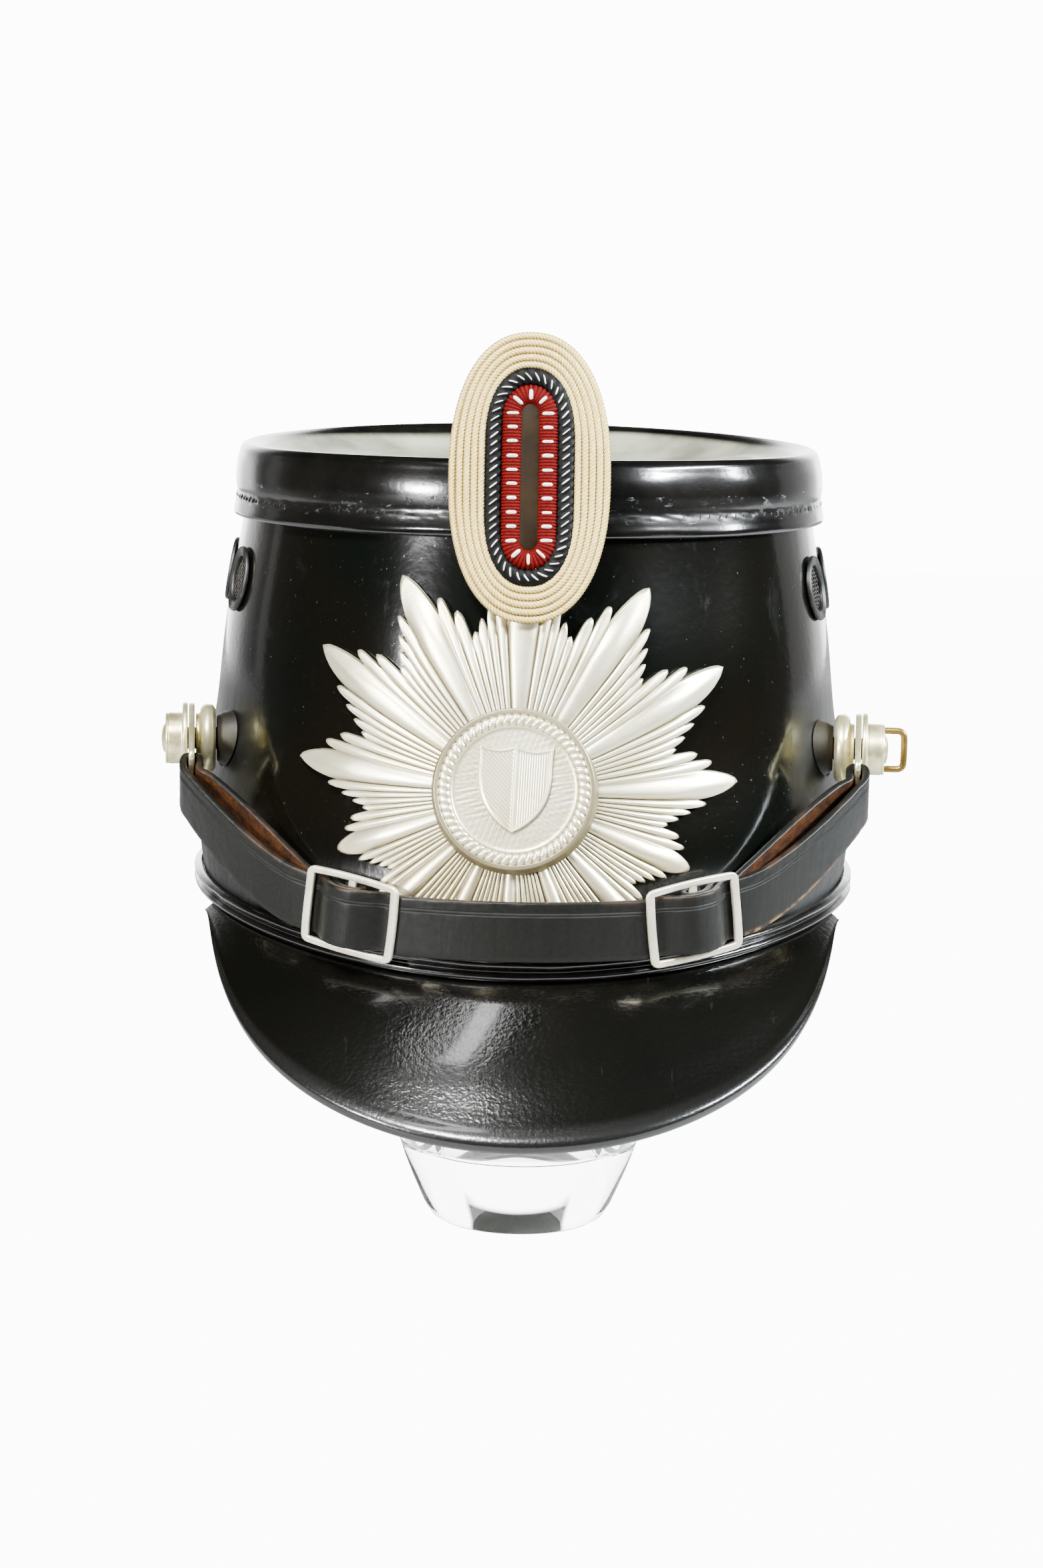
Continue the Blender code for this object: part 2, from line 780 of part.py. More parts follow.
def outer_hump(fold):
    """The outer layer through the buckle: over the fold, then down behind its end."""
    over = BUCKLE_WALL / 2 + STRAP_TURN
    slope = unit(np.gradient(fold, axis=0))
    above = fold + np.column_stack([-slope[:, 1], slope[:, 0]]) * STRAP_PITCH
    radius = STRAP_TURN + STRAP_PITCH
    corner = np.array([-BUCKLE_BAR / 2, BUCKLE_WALL / 2])
    landing = np.array([-BUCKLE_LENGTH / 2 + BUCKLE_BAR + STRAP_EASE, -over])
    reach = corner - landing
    lean = math.asin(radius / np.linalg.norm(reach)) + math.atan2(reach[1], reach[0])
    angle = math.pi / 2 + lean * np.linspace(0, 1, 3)
    turn = corner + radius * np.column_stack([np.cos(angle), np.sin(angle)])
    return np.vstack([above[::-1], turn, landing, (-BUCKLE_LENGTH / 2, -over)])


def strap_line():
    """Points and across directions of the right half, from its end to the front."""
    points = []
    across = []

    def add(flat, origin, way, width, out):
        for x, y in flat:
            points.append(origin + way * x + out * y)
            across.append(width)

    def add_run(ends, ways, bow, widths):
        curve, shares = free_run(ends[0], ways[0], ends[1], ways[1], bow)
        for point, share in zip(curve, shares):
            points.append(point)
            across.append(unit(widths[0] * (1 - share) + widths[1] * share))

    middle, along, wide, outward = buckle_frame()
    over = BUCKLE_WALL / 2 + STRAP_TURN
    fold = inner_fold()
    tail = [(STRAP_TAIL, -over)] + wrap_points(BUCKLE_BAR, BUCKLE_WALL)[::-1]
    add(tail, middle, along, wide, outward)
    add(fold, middle, along, wide, outward)
    inner_start = points[-1]
    outer_start = middle + along * fold[-1, 0] - outward * over

    bar, lug_way, lug_wide, lug_out = lug_frame()
    level = LUG_WALL / 2 + STRAP_TURN
    near = LUG_BAR / 2 + STRAP_EXIT
    inner_end = bar + lug_way * near - lug_out * level
    outer_end = bar + lug_way * near + lug_out * level
    leaving = unit(lug_way - lug_out * STRAP_LEAN)
    bow = lug_wide * INNER_RISE - outward * INNER_BOW
    none = np.zeros(3)

    add_run((inner_start, inner_end), (along, -leaving), bow, (wide, lug_wide))
    lug_wrap = [(near, -level)] + wrap_points(LUG_BAR, LUG_WALL)[::-1] + [(near, level)]
    add(lug_wrap, bar, lug_way, lug_wide, lug_out)
    add_run((outer_end, outer_start), (leaving, -along), none, (lug_wide, wide))
    add(outer_hump(fold), middle, along, wide, outward)

    theta, out = crown_place(points[-1])
    z = points[-1][2]
    centre_z = strap_middle()
    for share in np.linspace(1, 0, FRONT_POINTS)[1:]:
        height = centre_z + (z - centre_z) * share ** 2
        points.append(crown_point(theta * share, height, out))
        across.append(crown_frame(theta * share, height)[1])
    return np.array(points), np.array(across)


def make_strap(leather):
    """One strap: buckle, lug, buckle, across the front and the same on the left."""
    right, wide = strap_line()
    left = mirrored(right, -1)[:-1][::-1]
    line = np.vstack([right, left])
    width = np.vstack([wide, mirrored(wide, -1)[:-1][::-1]])
    tangent = unit(np.gradient(line, axis=0))
    width = unit(width - tangent * np.sum(width * tangent, axis=1, keepdims=True))
    depth = np.cross(tangent, width)
    rings = []
    for point, w, d in zip(line, width, depth):
        w = w * STRAP_WIDTH / 2
        d = d * STRAP_WALL / 2
        rings.append(np.array([point - w - d, point + w - d, point + w + d, point - w + d]))
    return loft("chin_strap", rings, leather, sharp=50)


def rounded_box(length, height, corner, steps=3):
    """Outline of a rectangle with round corners, anticlockwise."""
    points = []
    for index, (sx, sy) in enumerate(((1, 1), (-1, 1), (-1, -1), (1, -1))):
        for step in range(steps + 1):
            angle = math.pi / 2 * (index + step / steps)
            x = sx * (length / 2 - corner) + corner * math.cos(angle)
            points.append((x, sy * (height / 2 - corner) + corner * math.sin(angle)))
    return np.array(points)


def make_buckles(steel):
    """A flat frame with a middle bar, one on each side."""
    frame = buckle_frame()
    opening = STRAP_WIDTH + 2 * STRAP_CLEAR
    outline = rounded_box(BUCKLE_LENGTH, opening + 2 * BUCKLE_SIDE, BUCKLE_CORNER)
    slot_length = BUCKLE_LENGTH / 2 - 1.5 * BUCKLE_BAR
    slot = rounded_box(slot_length, opening, BUCKLE_CORNER * 0.3, 1)
    shift = BUCKLE_BAR / 2 + slot_length / 2
    for side, hand in ((1, "right"), (-1, "left")):
        buckle = slab(f"buckle_{hand}", outline, BUCKLE_WALL / 2, frame, side, steel)
        for end, way in (("outer", 1), ("inner", -1)):
            window = slot + (way * shift, 0)
            cut(buckle, slab(f"cut_{end}_{hand}", window, BUCKLE_WALL, frame, side, steel))


def pin_height():
    """Height of the cockade's pin, just under the shell's upper edge."""
    return crest_height(0) - RIM_ROLL - PIN_DROP


def star_middle():
    """Height of the medallion's centre, between the head band and the cockade's pin."""
    low = edge_height(0) + BAND_HEIGHT + STAR_CLEAR + STAR_RADIUS * STAR_RAYS[-1][1]
    high = pin_height() - PIN_RADIUS - STAR_CLEAR - STAR_RADIUS * STAR_RAYS[0][1]
    return low + (high - low) * STAR_SPARE_LOW


def star_frame():
    """Middle of the star on the crown, with its axes turned as the plate is."""
    z = star_middle()
    theta = float(arc_to_angle(STAR_SHIFT, z))
    side, rise, outward = crown_frame(theta, z)
    turn = math.radians(STAR_TURN)
    across = side * math.cos(turn) - rise * math.sin(turn)
    up = rise * math.cos(turn) + side * math.sin(turn)
    return crown_point(theta, z), across, up, outward


def star_outline():
    """Rows of angle from the top, radius and ridge height, all the way round."""
    rows = []
    for (angle, size), (next_angle, next_size) in zip(STAR_RAYS, STAR_RAYS[1:]):
        for share, reach, ridge in RAY_STEPS:
            radius = STAR_RADIUS * (size + (next_size - size) * share) * reach
            rows.append((angle + (next_angle - angle) * share, radius, ridge))
    rows.append((STAR_RAYS[-1][0], STAR_RADIUS * STAR_RAYS[-1][1], 1.0))
    rows += [(-angle, radius, ridge) for angle, radius, ridge in rows[1:-1][::-1]]
    return np.array(rows)


def on_star(flat, out):
    """Flat (across, up) points of the star wrapped round the crown's front."""
    turn = math.radians(STAR_TURN)
    arc = STAR_SHIFT + flat[:, 0] * math.cos(turn) + flat[:, 1] * math.sin(turn)
    rise = flat[:, 1] * math.cos(turn) - flat[:, 0] * math.sin(turn)
    z = star_middle() + rise * crown_frame(0.0, star_middle())[1][2]
    theta = np.array([arc_to_angle(a, height) for a, height in zip(arc, z)])
    return crown_point(theta, z, out)


def make_star(alloy):
    rows = star_outline()
    angle = np.radians(rows[:, 0])
    way = np.column_stack([np.sin(angle), np.cos(angle)])

    def ring(share, relief):
        flat = way * rows[:, 1:2] * share
        if relief < 0:
            return on_star(flat, STAR_SEAT)
        return on_star(flat, STAR_SEAT + STAR_WALL + relief * rows[:, 2] * STAR_RELIEF)

    zero = np.zeros((1, 2))
    rings = [on_star(zero, star_top())]
    rings += [ring(share, relief) for share, relief in STAR_RINGS]
    rings += [ring(min(share, 0.99), -1) for share, relief in reversed(STAR_RINGS)]
    rings.append(on_star(zero, STAR_SEAT))
    return loft("star", rings, alloy, sharp=20)


def make_medallion(alloy):
    """A flat-faced round boss whose back follows the star."""
    count = OVAL_SIDES
    frame = star_frame()
    back = star_top() + GAP
    field = back + MEDAL_WALL
    rim = field + MEDAL_RIM
    inner = MEDAL_RADIUS - MEDAL_RIM_WIDTH
    profile = (
        (0, field),
        (inner, field),
        (inner + MEDAL_RIM_WIDTH * 0.3, rim),
        (MEDAL_RADIUS * 0.96, rim),
        (MEDAL_RADIUS, rim - MEDAL_RIM * 0.6),
    )
    rings = []
    for radius, height in profile:
        local = np.array([[0, 0, height]])
        if radius > 0:
            local = flat_ring(circle(radius, count), height)
        rings.append(place(local, *frame))
    for radius in (MEDAL_RADIUS, MEDAL_RADIUS * 0.72, MEDAL_RADIUS * 0.4):
        rings.append(on_star(circle(radius, count), back))
    rings.append(on_star(np.zeros((1, 2)), back))
    loft("star_medallion", rings, alloy)

    right = [(SHIELD_WIDTH / 2 * x, SHIELD_HEIGHT * (y - 0.5)) for x, y in SHIELD_OUTLINE]
    outline = np.array(right + [(-x, y) for x, y in right[:0:-1]])
    foot = field + GAP
    levels = ((1.0, foot), (1.0, foot + SHIELD_WALL * 0.5), (0.9, foot + SHIELD_WALL))
    rings = [place(flat_ring(outline * size, h), *frame) for size, h in levels]
    loft("star_shield", rings, alloy)


def oval(width, height, power):
    """A rounded outline between an ellipse and a rectangle."""
    angle = np.arange(OVAL_SIDES) * 2 * math.pi / OVAL_SIDES
    x = np.sign(np.cos(angle)) * np.abs(np.cos(angle)) ** (2 / power)
    y = np.sign(np.sin(angle)) * np.abs(np.sin(angle)) ** (2 / power)
    return np.column_stack([x * width / 2, y * height / 2])


def cockade_frame():
    """Middle of the cockade's back: it leans as the crown's front does."""
    z = crest_height(0) - COCKADE_DROP
    rise = CROWN_HEIGHT
    slope = math.atan((SHELL_LENGTH_LOW - SHELL_LENGTH_TOP) / 2 / rise)
    across = np.array([1.0, 0.0, 0.0])
    up = np.array([0.0, math.sin(slope), math.cos(slope)])
    outward = np.cross(across, up)
    origin = crown_point(0.0, z)
    behind = [crown_point(0.0, crest_height(0) - SKIRT_HEIGHT * drop, SKIRT_BULGE * bulge)
              for bulge, drop in SKIRT_SECTIONS]
    foot = z - COCKADE_HEIGHT / 2
    tip = star_middle() + STAR_RADIUS
    behind += [crown_point(0.0, height, star_top()) for height in np.linspace(foot, tip, 5)]
    reach = max(float((point - origin) @ outward) for point in behind)
    return origin + outward * (reach + GAP), across, up, outward


def make_cockade(shell, top, silver, black, red, gold):
    """Nested rings, each thicker than the one round it, and a pin behind."""
    frame = cockade_frame()
    rise = COCKADE_DOME - COCKADE_EDGE
    widths = [COCKADE_WIDTH]
    heights = [COCKADE_HEIGHT]
    powers = (2.25, 2.5, 3.0, 3.4)
    for band in (CORD_BAND_WIDTH, DARK_RING_WIDTH, RED_RING_WIDTH):
        widths.append(widths[-1] - 2 * band)
        heights.append(heights[-1] - 2 * band)
    names = ("cockade_cords", "cockade_dark_ring", "cockade_red_ring")
    for i, (name, material) in enumerate(zip(names, (silver, black, red))):
        edge = COCKADE_EDGE + rise * i / 3
        crown = COCKADE_EDGE + rise * (i + 1) / 3
        outer = oval(widths[i] - 2 * GAP * min(i, 1), heights[i] - 2 * GAP * min(i, 1), powers[i])
        inner = oval(widths[i + 1], heights[i + 1], powers[i + 1])
        levels = (
            (outer, 0.0),
            (outer, edge * 0.7),
            (outer * 0.88 + inner * 0.12, edge),
            (outer * 0.3 + inner * 0.7, crown),
            (inner, crown * 0.96),
            (inner, 0.0),
        )
        rings = [place(flat_ring(flat, h), *frame) for flat, h in levels]
        loft(name, rings, material, closed=True)
    plate = oval(widths[3] - 2 * GAP, heights[3] - 2 * GAP, powers[3])
    rings = [place(flat_ring(plate, h), *frame) for h in (0.0, COCKADE_DOME - SLOT_PLATE_DROP)]
    loft("cockade_slot_plate", rings, gold)

    pin_z = pin_height()
    drop = (frame[0][2] - pin_z) / frame[2][2]
    wall = float((frame[0] - crown_point(0.0, pin_z, -SHELL_WALL)) @ frame[3])
    pin_frame = (frame[0] - frame[2] * drop, *frame[1:])
    deep = wall + PIN_INSIDE
    pin = ((0, -GAP), (PIN_RADIUS, -GAP), (PIN_RADIUS, -deep), (0, -deep))
    turned("cockade_pin", pin, pin_frame, 10, silver)
    clear = PIN_RADIUS + GAP
    hole = ((0, -GAP / 2), (clear, -GAP / 2), (clear, -2 * deep), (0, -2 * deep))
    cutter = turned("cut_pin", hole, pin_frame, 10, silver)
    cut(shell, cutter)
    cut(top, cutter)


def main():
    clear_scene()
    glass = make_material("clear_glass", (0.80, 0.83, 0.80), 0.05, 0.0, 1.0)
    lacquer = make_material("black_lacquer", (0.012, 0.012, 0.012), 0.16)
    top_leather = make_material("top_leather", (0.020, 0.019, 0.018), 0.42)
    band_leather = make_material("band_leather", (0.014, 0.013, 0.012), 0.24)
    strap_leather = make_material("strap_leather", (0.016, 0.014, 0.013), 0.35)
    vent_paint = make_material("vent_paint", (0.010, 0.010, 0.010), 0.40)
    vent_wire = make_material("vent_wire", (0.030, 0.028, 0.026), 0.55, 0.6)
    post_alloy = make_material("post_alloy", (0.62, 0.58, 0.46), 0.28, 1.0)
    buckle_steel = make_material("buckle_steel", (0.72, 0.70, 0.66), 0.25, 1.0)
    brass = make_material("brass_wire", (0.60, 0.45, 0.22), 0.32, 1.0)
    star_alloy = make_material("star_alloy", (0.66, 0.67, 0.66), 0.36, 1.0)
    silver_cord = make_material("silver_cord", (0.62, 0.58, 0.46), 0.50, 0.7)
    black_cord = make_material("black_cord", (0.020, 0.020, 0.020), 0.50)
    red_cord = make_material("red_cord", (0.32, 0.02, 0.02), 0.55)
    old_gold = make_material("old_gold", (0.32, 0.26, 0.10), 0.45, 0.8)

    make_stand(glass)
    shell = make_shell(lacquer)
    top = make_top(top_leather)
    make_band(band_leather)
    make_visor("front_visor", 0.0, FRONT_SPREAD, FRONT_REACH, FRONT_DROP, FRONT_FLARE, lacquer)
    make_visor("neck_peak", math.pi, BACK_SPREAD, BACK_REACH, BACK_DROP, BACK_FLARE, lacquer)
    make_vents(shell, vent_paint, vent_wire)
    make_posts(shell, post_alloy)
    make_lugs(post_alloy)
    make_hook(brass)
    make_strap(strap_leather)
    make_buckles(buckle_steel)
    make_star(star_alloy)
    make_medallion(star_alloy)
    make_cockade(shell, top, silver_cord, black_cord, red_cord, old_gold)


main()
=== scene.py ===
import math

import bmesh
import bpy
import numpy as np
from mathutils import Matrix


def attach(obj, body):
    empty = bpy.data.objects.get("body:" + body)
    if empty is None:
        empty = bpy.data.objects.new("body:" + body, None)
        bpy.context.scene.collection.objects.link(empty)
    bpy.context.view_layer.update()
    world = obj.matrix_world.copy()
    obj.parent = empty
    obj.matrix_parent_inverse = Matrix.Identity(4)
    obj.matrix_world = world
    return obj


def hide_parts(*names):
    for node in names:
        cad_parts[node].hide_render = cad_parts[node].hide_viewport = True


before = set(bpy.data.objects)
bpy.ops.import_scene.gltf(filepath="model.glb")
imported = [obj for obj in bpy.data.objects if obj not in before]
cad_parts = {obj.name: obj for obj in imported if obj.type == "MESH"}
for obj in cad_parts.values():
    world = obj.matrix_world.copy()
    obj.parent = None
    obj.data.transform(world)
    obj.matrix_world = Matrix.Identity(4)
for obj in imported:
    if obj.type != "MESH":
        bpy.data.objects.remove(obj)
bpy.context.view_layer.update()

print("frame loaded,", len(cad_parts), "nodes")

gap = 0.0003  # clearance between neighbours, as in the frame
hands = ((1, "right"), (-1, "left"))
crown = dict(
    widthLow=0.1812, lengthLow=0.2110, widthTop=0.1562, lengthTop=0.1735, wall=0.0022, mean=0.09,
    height=0.1285, crest=0.2243, edgeDip=0.0085, saddle=0.0012, tilt=0.0032,
    taper=[(0, 0), (0.09, -0.14), (0.22, -0.06), (0.42, 0.25), (0.58, 0.40), (0.84, 0.80), (1, 1)],
)


# curves and small maths


def curveThrough(rows, x):
    # Smooth curve through (x, y) rows: a cubic between each two, sloped as its neighbours lie.
    rows = np.asarray(rows, float)
    xs, ys = rows[:, 0], rows[:, 1]
    x = np.asarray(x, float)
    slope = np.gradient(ys, xs)
    i = np.clip(np.searchsorted(xs, x) - 1, 0, len(xs) - 2)
    h = xs[i + 1] - xs[i]
    t = np.clip((x - xs[i]) / h, 0, 1)
    start = (2 * t ** 3 - 3 * t ** 2 + 1) * ys[i] + (t ** 3 - 2 * t ** 2 + t) * h * slope[i]
    return start + (3 * t ** 2 - 2 * t ** 3) * ys[i + 1] + (t ** 3 - t ** 2) * h * slope[i + 1]


def runOf(points):
    # Length along a line of points up to each of them.
    return np.concatenate([[0], np.cumsum(np.linalg.norm(np.diff(points, axis=0), axis=1))])


def spline(points, count):
    # The same kind of curve through points, sampled evenly along its length.
    points = np.asarray(points, float)
    chord = runOf(points)
    fine = np.linspace(0, chord[-1], count * 6)
    path = np.stack([curveThrough(np.column_stack([chord, c]), fine) for c in points.T], axis=-1)
    run = runOf(path)
    even = np.linspace(0, run[-1], count)
    return np.stack([np.interp(even, run, c) for c in path.T], axis=-1)


def softCorners(points, radius, steps=4, closed=False):
    # A bent line with each corner replaced by a short curve, no longer than radius on each side.
    points = [np.asarray(p, float) for p in points]
    made = []
    for k, p in enumerate(points):
        if not closed and k in (0, len(points) - 1):
            made.append(p)
            continue
        ends = (points[k - 1] - p, points[(k + 1) % len(points)] - p)
        a, b = (p + unit(end) * min(radius, 0.45 * np.linalg.norm(end)) for end in ends)
        made += [a * (1 - t) ** 2 + 2 * p * t * (1 - t) + b * t * t for t in np.linspace(0, 1, steps + 1)]
    return np.array(made)


def spaced(*parts):
    # Even values of several (first, last, count) parts in one row.
    return np.concatenate([np.linspace(*part) for part in parts])


def turnAngles(count):
    return np.arange(count) * 2 * math.pi / count


def smoothStep(low, high, x):
    t = np.clip((x - low) / (high - low), 0, 1)
    return t * t * (3 - 2 * t)


def ripple(seed, size, *axes):
    # Soft noise of about -1 to 1: eight sine waves of about one size, in directions drawn from a seed.
    draw = np.random.default_rng(seed)
    total = 0
    for _ in range(8):
        way = draw.normal(size=len(axes))
        way = way / np.linalg.norm(way) * draw.uniform(0.6, 1.5) * 2 * math.pi / size
        phase = draw.uniform(0, 2 * math.pi)
        total = total + np.sin(sum(w * a for w, a in zip(way, axes)) + phase)
    return total / 4


def unit(vector):
    vector = np.asarray(vector, float)
    return vector / np.linalg.norm(vector, axis=-1, keepdims=True)


def turned(across, up, angle):
    # Two directions turned in their own plane.
    s, c = math.sin(angle), math.cos(angle)
    return across * c + up * s, up * c - across * s


def grid3(x, y, z):
    return np.stack(np.broadcast_arrays(x, y, z), axis=-1)


# meshes


def patch(points, wrapRows=False, wrapCols=False, paint=0, mark=None):
    # Quads on a grid of points [row, column]. UV X is the share along a row and Y along a column, or
    # mark's value at each point. Paint is a material number for all faces or for each column.
    points = np.asarray(points, float)
    rows, cols = points.shape[:2]
    i = np.arange(rows if wrapRows else rows - 1)[:, None]
    j = np.arange(cols if wrapCols else cols - 1)[None, :]
    faces, uvs = [], []
    for a, b in ((i, j), (i, j + 1), (i + 1, j + 1), (i + 1, j)):
        faces.append((a % rows) * cols + (b % cols))
        height = a / i.size if mark is None else np.ravel(mark)[faces[-1]]
        uvs.append(np.stack(np.broadcast_arrays(b / j.size, height), axis=-1))
    return dict(
        points=points.reshape(-1, 3), faces=np.stack(faces, axis=-1).reshape(-1, 4),
        uvs=np.stack(uvs, axis=2).reshape(-1, 2), paints=np.broadcast_to(paint, (i.size, j.size)).reshape(-1),
    )


def fan(ring, centre):
    # Closes a ring with triangles to one point.
    return patch(np.stack([ring, np.broadcast_to(centre, ring.shape)]), wrapCols=True)


def onFrame(points, place):
    # Local points (across, up, outward) in the frame: origin + x across + y up + z outward.
    origin, across, up, outward = place
    return np.asarray(points) @ np.stack([across, up, outward]) + origin


def mirror(grid, side):
    return np.asarray(grid) * (side, 1, 1)


def sided(grid, place, side, wrapRows=False):
    # A patch of a local grid on one side of the hat, closed along its columns.
    return patch(mirror(onFrame(grid, place), side), wrapRows, True)


def lathe(profile, count, place=None):
    # Turns (radius, height) rows round an axis: x = r cos a, y = r sin a.
    a = turnAngles(count)
    r, h = np.asarray(profile, float).T[..., None]
    points = grid3(r * np.cos(a), r * np.sin(a), h)
    return points if place is None else onFrame(points, place)


def polar(radius, a):
    return np.stack(np.broadcast_arrays(radius * np.cos(a), radius * np.sin(a)), axis=-1)


def circle(radius, count):
    return polar(radius, turnAngles(count))


def onto(flat, origin, across, up):
    # Flat points carried into space by two directions.
    return origin + flat[:, :1] * across + flat[:, 1:] * up


def wayRound(line):
    # Directions along a closed line.
    return unit(np.roll(line, -1, axis=0) - np.roll(line, 1, axis=0))


def sweep(line, wide, profile, closed=False):
    # Carries a flat (width, depth) outline along a line: point = line + w wide + d deep.
    way = wayRound(line) if closed else unit(np.gradient(line, axis=0))
    wide = unit(wide - way * np.sum(wide * way, axis=1, keepdims=True))
    deep = np.cross(way, wide)
    profile = np.asarray(profile, float)
    if profile.ndim == 2:
        profile = profile[None]
    return line[:, None] + profile[..., :1] * wide[:, None] + profile[..., 1:] * deep[:, None]


def capped(grid):
    # A tube's rings with a single point closing each end.
    ends = [np.broadcast_to(ring.mean(axis=0), ring.shape)[None] for ring in (grid[0], grid[-1])]
    return np.concatenate([ends[0], grid, ends[1]])


def meshOf(name, patches, finishes=()):
    # One mesh from patches, merged where they meet and turned outwards.
    start = np.cumsum([0] + [len(p["points"]) for p in patches])
    points, uvs, paints = (np.concatenate([p[key] for p in patches]) for key in ("points", "uvs", "paints"))
    faces = np.concatenate([p["faces"] + s for p, s in zip(patches, start)])
    mesh = bpy.data.meshes.new(name)
    mesh.from_pydata(points.tolist(), [], faces.tolist())
    if finishes:
        mesh.uv_layers.new(name="run").data.foreach_set("uv", uvs.ravel())
        mesh.polygons.foreach_set("material_index", paints.astype(np.int32))
    for finish in finishes:
        mesh.materials.append(finish)
    build = bmesh.new()
    build.from_mesh(mesh)
    bmesh.ops.remove_doubles(build, verts=build.verts, dist=2e-6)
    bmesh.ops.recalc_face_normals(build, faces=build.faces)
    build.to_mesh(mesh)
    build.free()
    return mesh


def linked(name, data):
    # A new object in the scene.
    thing = bpy.data.objects.new(name, data)
    bpy.context.scene.collection.objects.link(thing)
    return thing


def stood(thing, place, across, up, back):
    # Stands a lamp or camera at a place, looking away from back.
    rows = np.stack([across, up, back]).T
    thing.matrix_world = Matrix([(*row, p) for row, p in zip(rows, place)] + [(0, 0, 0, 1)])


def addPiece(name, patches, finishes, node, sharp=None):
    # One smooth object from patches, with its finishes and its place in the model.
    patches = [patches] if isinstance(patches, dict) else patches
    finishes = finishes if isinstance(finishes, list) else [finishes]
    mesh = meshOf(name, patches, finishes)
    mesh.shade_smooth()
    if sharp:
        mesh.set_sharp_from_angle(angle=math.radians(sharp))
    piece = linked(name, mesh)
    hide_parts(node)
    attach(piece, "root")
    return piece


def cutAway(piece, patches):
    # Cuts closed shapes out of a piece for good.
    cutter = linked("cutter", meshOf("cutter", patches))
    boolean = piece.modifiers.new("cut", "BOOLEAN")
    boolean.operation, boolean.solver, boolean.object = "DIFFERENCE", "EXACT", cutter
    graph = bpy.context.evaluated_depsgraph_get()
    mesh = bpy.data.meshes.new_from_object(piece.evaluated_get(graph))
    piece.modifiers.clear()
    piece.data = mesh
    bpy.data.objects.remove(cutter)


# finishes


class Wire:
    # A value in a material: arithmetic on it adds Math nodes.

    def __init__(self, graph, socket):
        self.graph = graph
        self.socket = socket

    def math(self, operation, a, b):
        return self.graph.add("ShaderNodeMath", {"operation": operation}, {0: a, 1: b})

    def __add__(self, other):
        return self.math("ADD", self, other)

    def __radd__(self, other):
        return self.math("ADD", other, self)

    def __sub__(self, other):
        return self.math("SUBTRACT", self, other)

    def __rsub__(self, other):
        return self.math("SUBTRACT", other, self)

    def __mul__(self, other):
        return self.math("MULTIPLY", self, other)

    def __rmul__(self, other):
        return self.math("MULTIPLY", other, self)

    def __pow__(self, other):
        return self.math("POWER", self, other)


class Graph:
    # A node tree and the ways to add to it.

    def __init__(self, tree):
        self.tree = tree

    def feed(self, socket, value):
        # Links a wire to a socket or sets the socket's value.
        if isinstance(value, Wire):
            self.tree.links.new(value.socket, socket)
        elif socket.type == "RGBA":
            socket.default_value = (*value, 1.0)
        else:
            socket.default_value = value

    def add(self, kind, settings=None, sockets=None, out=0):
        # Any node: its type, its settings, then values or links of its sockets.
        node = self.tree.nodes.new(kind)
        for key, value in (settings or {}).items():
            setattr(node, key, value)
        for key, value in (sockets or {}).items():
            self.feed(node.inputs[key], value)
        return Wire(self, node.outputs[out])

    def ease(self, value, low, high, start=0.0, end=1.0):
        # Smooth step of a value from low to high.
        settings = {"interpolation_type": "SMOOTHSTEP"}
        return self.add("ShaderNodeMapRange", settings, {"Value": value, 1: low, 2: high, 3: start, 4: end})

    def fall(self, value, low, high):
        return self.ease(value, low, high, 1.0, 0.0)

    def blend(self, share, a, b):
        # Colour between a and b.
        return self.add("ShaderNodeMix", {"data_type": "RGBA"}, {0: share, 6: a, 7: b}, out=2)

    def part(self, where, axis):
        return self.add("ShaderNodeSeparateXYZ", {}, {0: where}, out="XYZ".index(axis))


class Finish(Graph):
    # A Principled material and the nodes that feed it.

    words = dict(
        colour="Base Color", rough="Roughness", metal="Metallic", coat="Coat Weight", coatRough="Coat Roughness",
        glass="Transmission Weight", ior="IOR", level="Specular IOR Level", normal="Normal",
    )

    def __init__(self, name, **fixed):
        self.material = bpy.data.materials.new(name)
        self.material.use_nodes = True
        super().__init__(self.material.node_tree)
        self.shader = self.tree.nodes["Principled BSDF"]
        for key, value in fixed.items():
            self.put(key, value)

    def put(self, key, value):
        self.feed(self.shader.inputs[self.words[key]], value)

    def place(self, stretch=(1, 1, 1), turn=(0, 0, 0), kind="Object"):
        # The object's own coordinates in metres, or its UV, stretched.
        raw = self.add("ShaderNodeTexCoord", out=kind)
        return self.add("ShaderNodeMapping", {}, {"Vector": raw, "Scale": stretch, "Rotation": turn})

    def axis(self, axis, kind="Object"):
        return self.part(self.place(kind=kind), axis)

    def noise(self, scale, where=None, detail=3.0, rough=0.55, warp=0.0):
        sockets = {"Scale": scale, "Detail": detail, "Roughness": rough, "Distortion": warp}
        return self.add("ShaderNodeTexNoise", {}, {"Vector": where or self.place(), **sockets})

    def spots(self, low, high, scale, where=None, **ways):
        # Patches where the noise is above low to high.
        return self.ease(self.noise(scale, where, **ways), low, high)

    def tones(self, share, dark, light, *layers):
        # Colour between two tones, with (share, colour) layers over it.
        tone = self.blend(share, dark, light)
        for share, colour in layers:
            tone = self.blend(share, tone, colour)
        self.put("colour", tone)

    def relief(self, rough, *layers):
        # Roughness, and the normal from (height, distance in metres, strength) layers, one over the other.
        self.put("rough", rough)
        under = {}
        for height, distance, strength in layers:
            sockets = {"Height": height, "Distance": distance, "Strength": strength, **under}
            under = {"Normal": self.add("ShaderNodeBump", {}, sockets)}
        self.put("normal", under["Normal"])
        return self.material


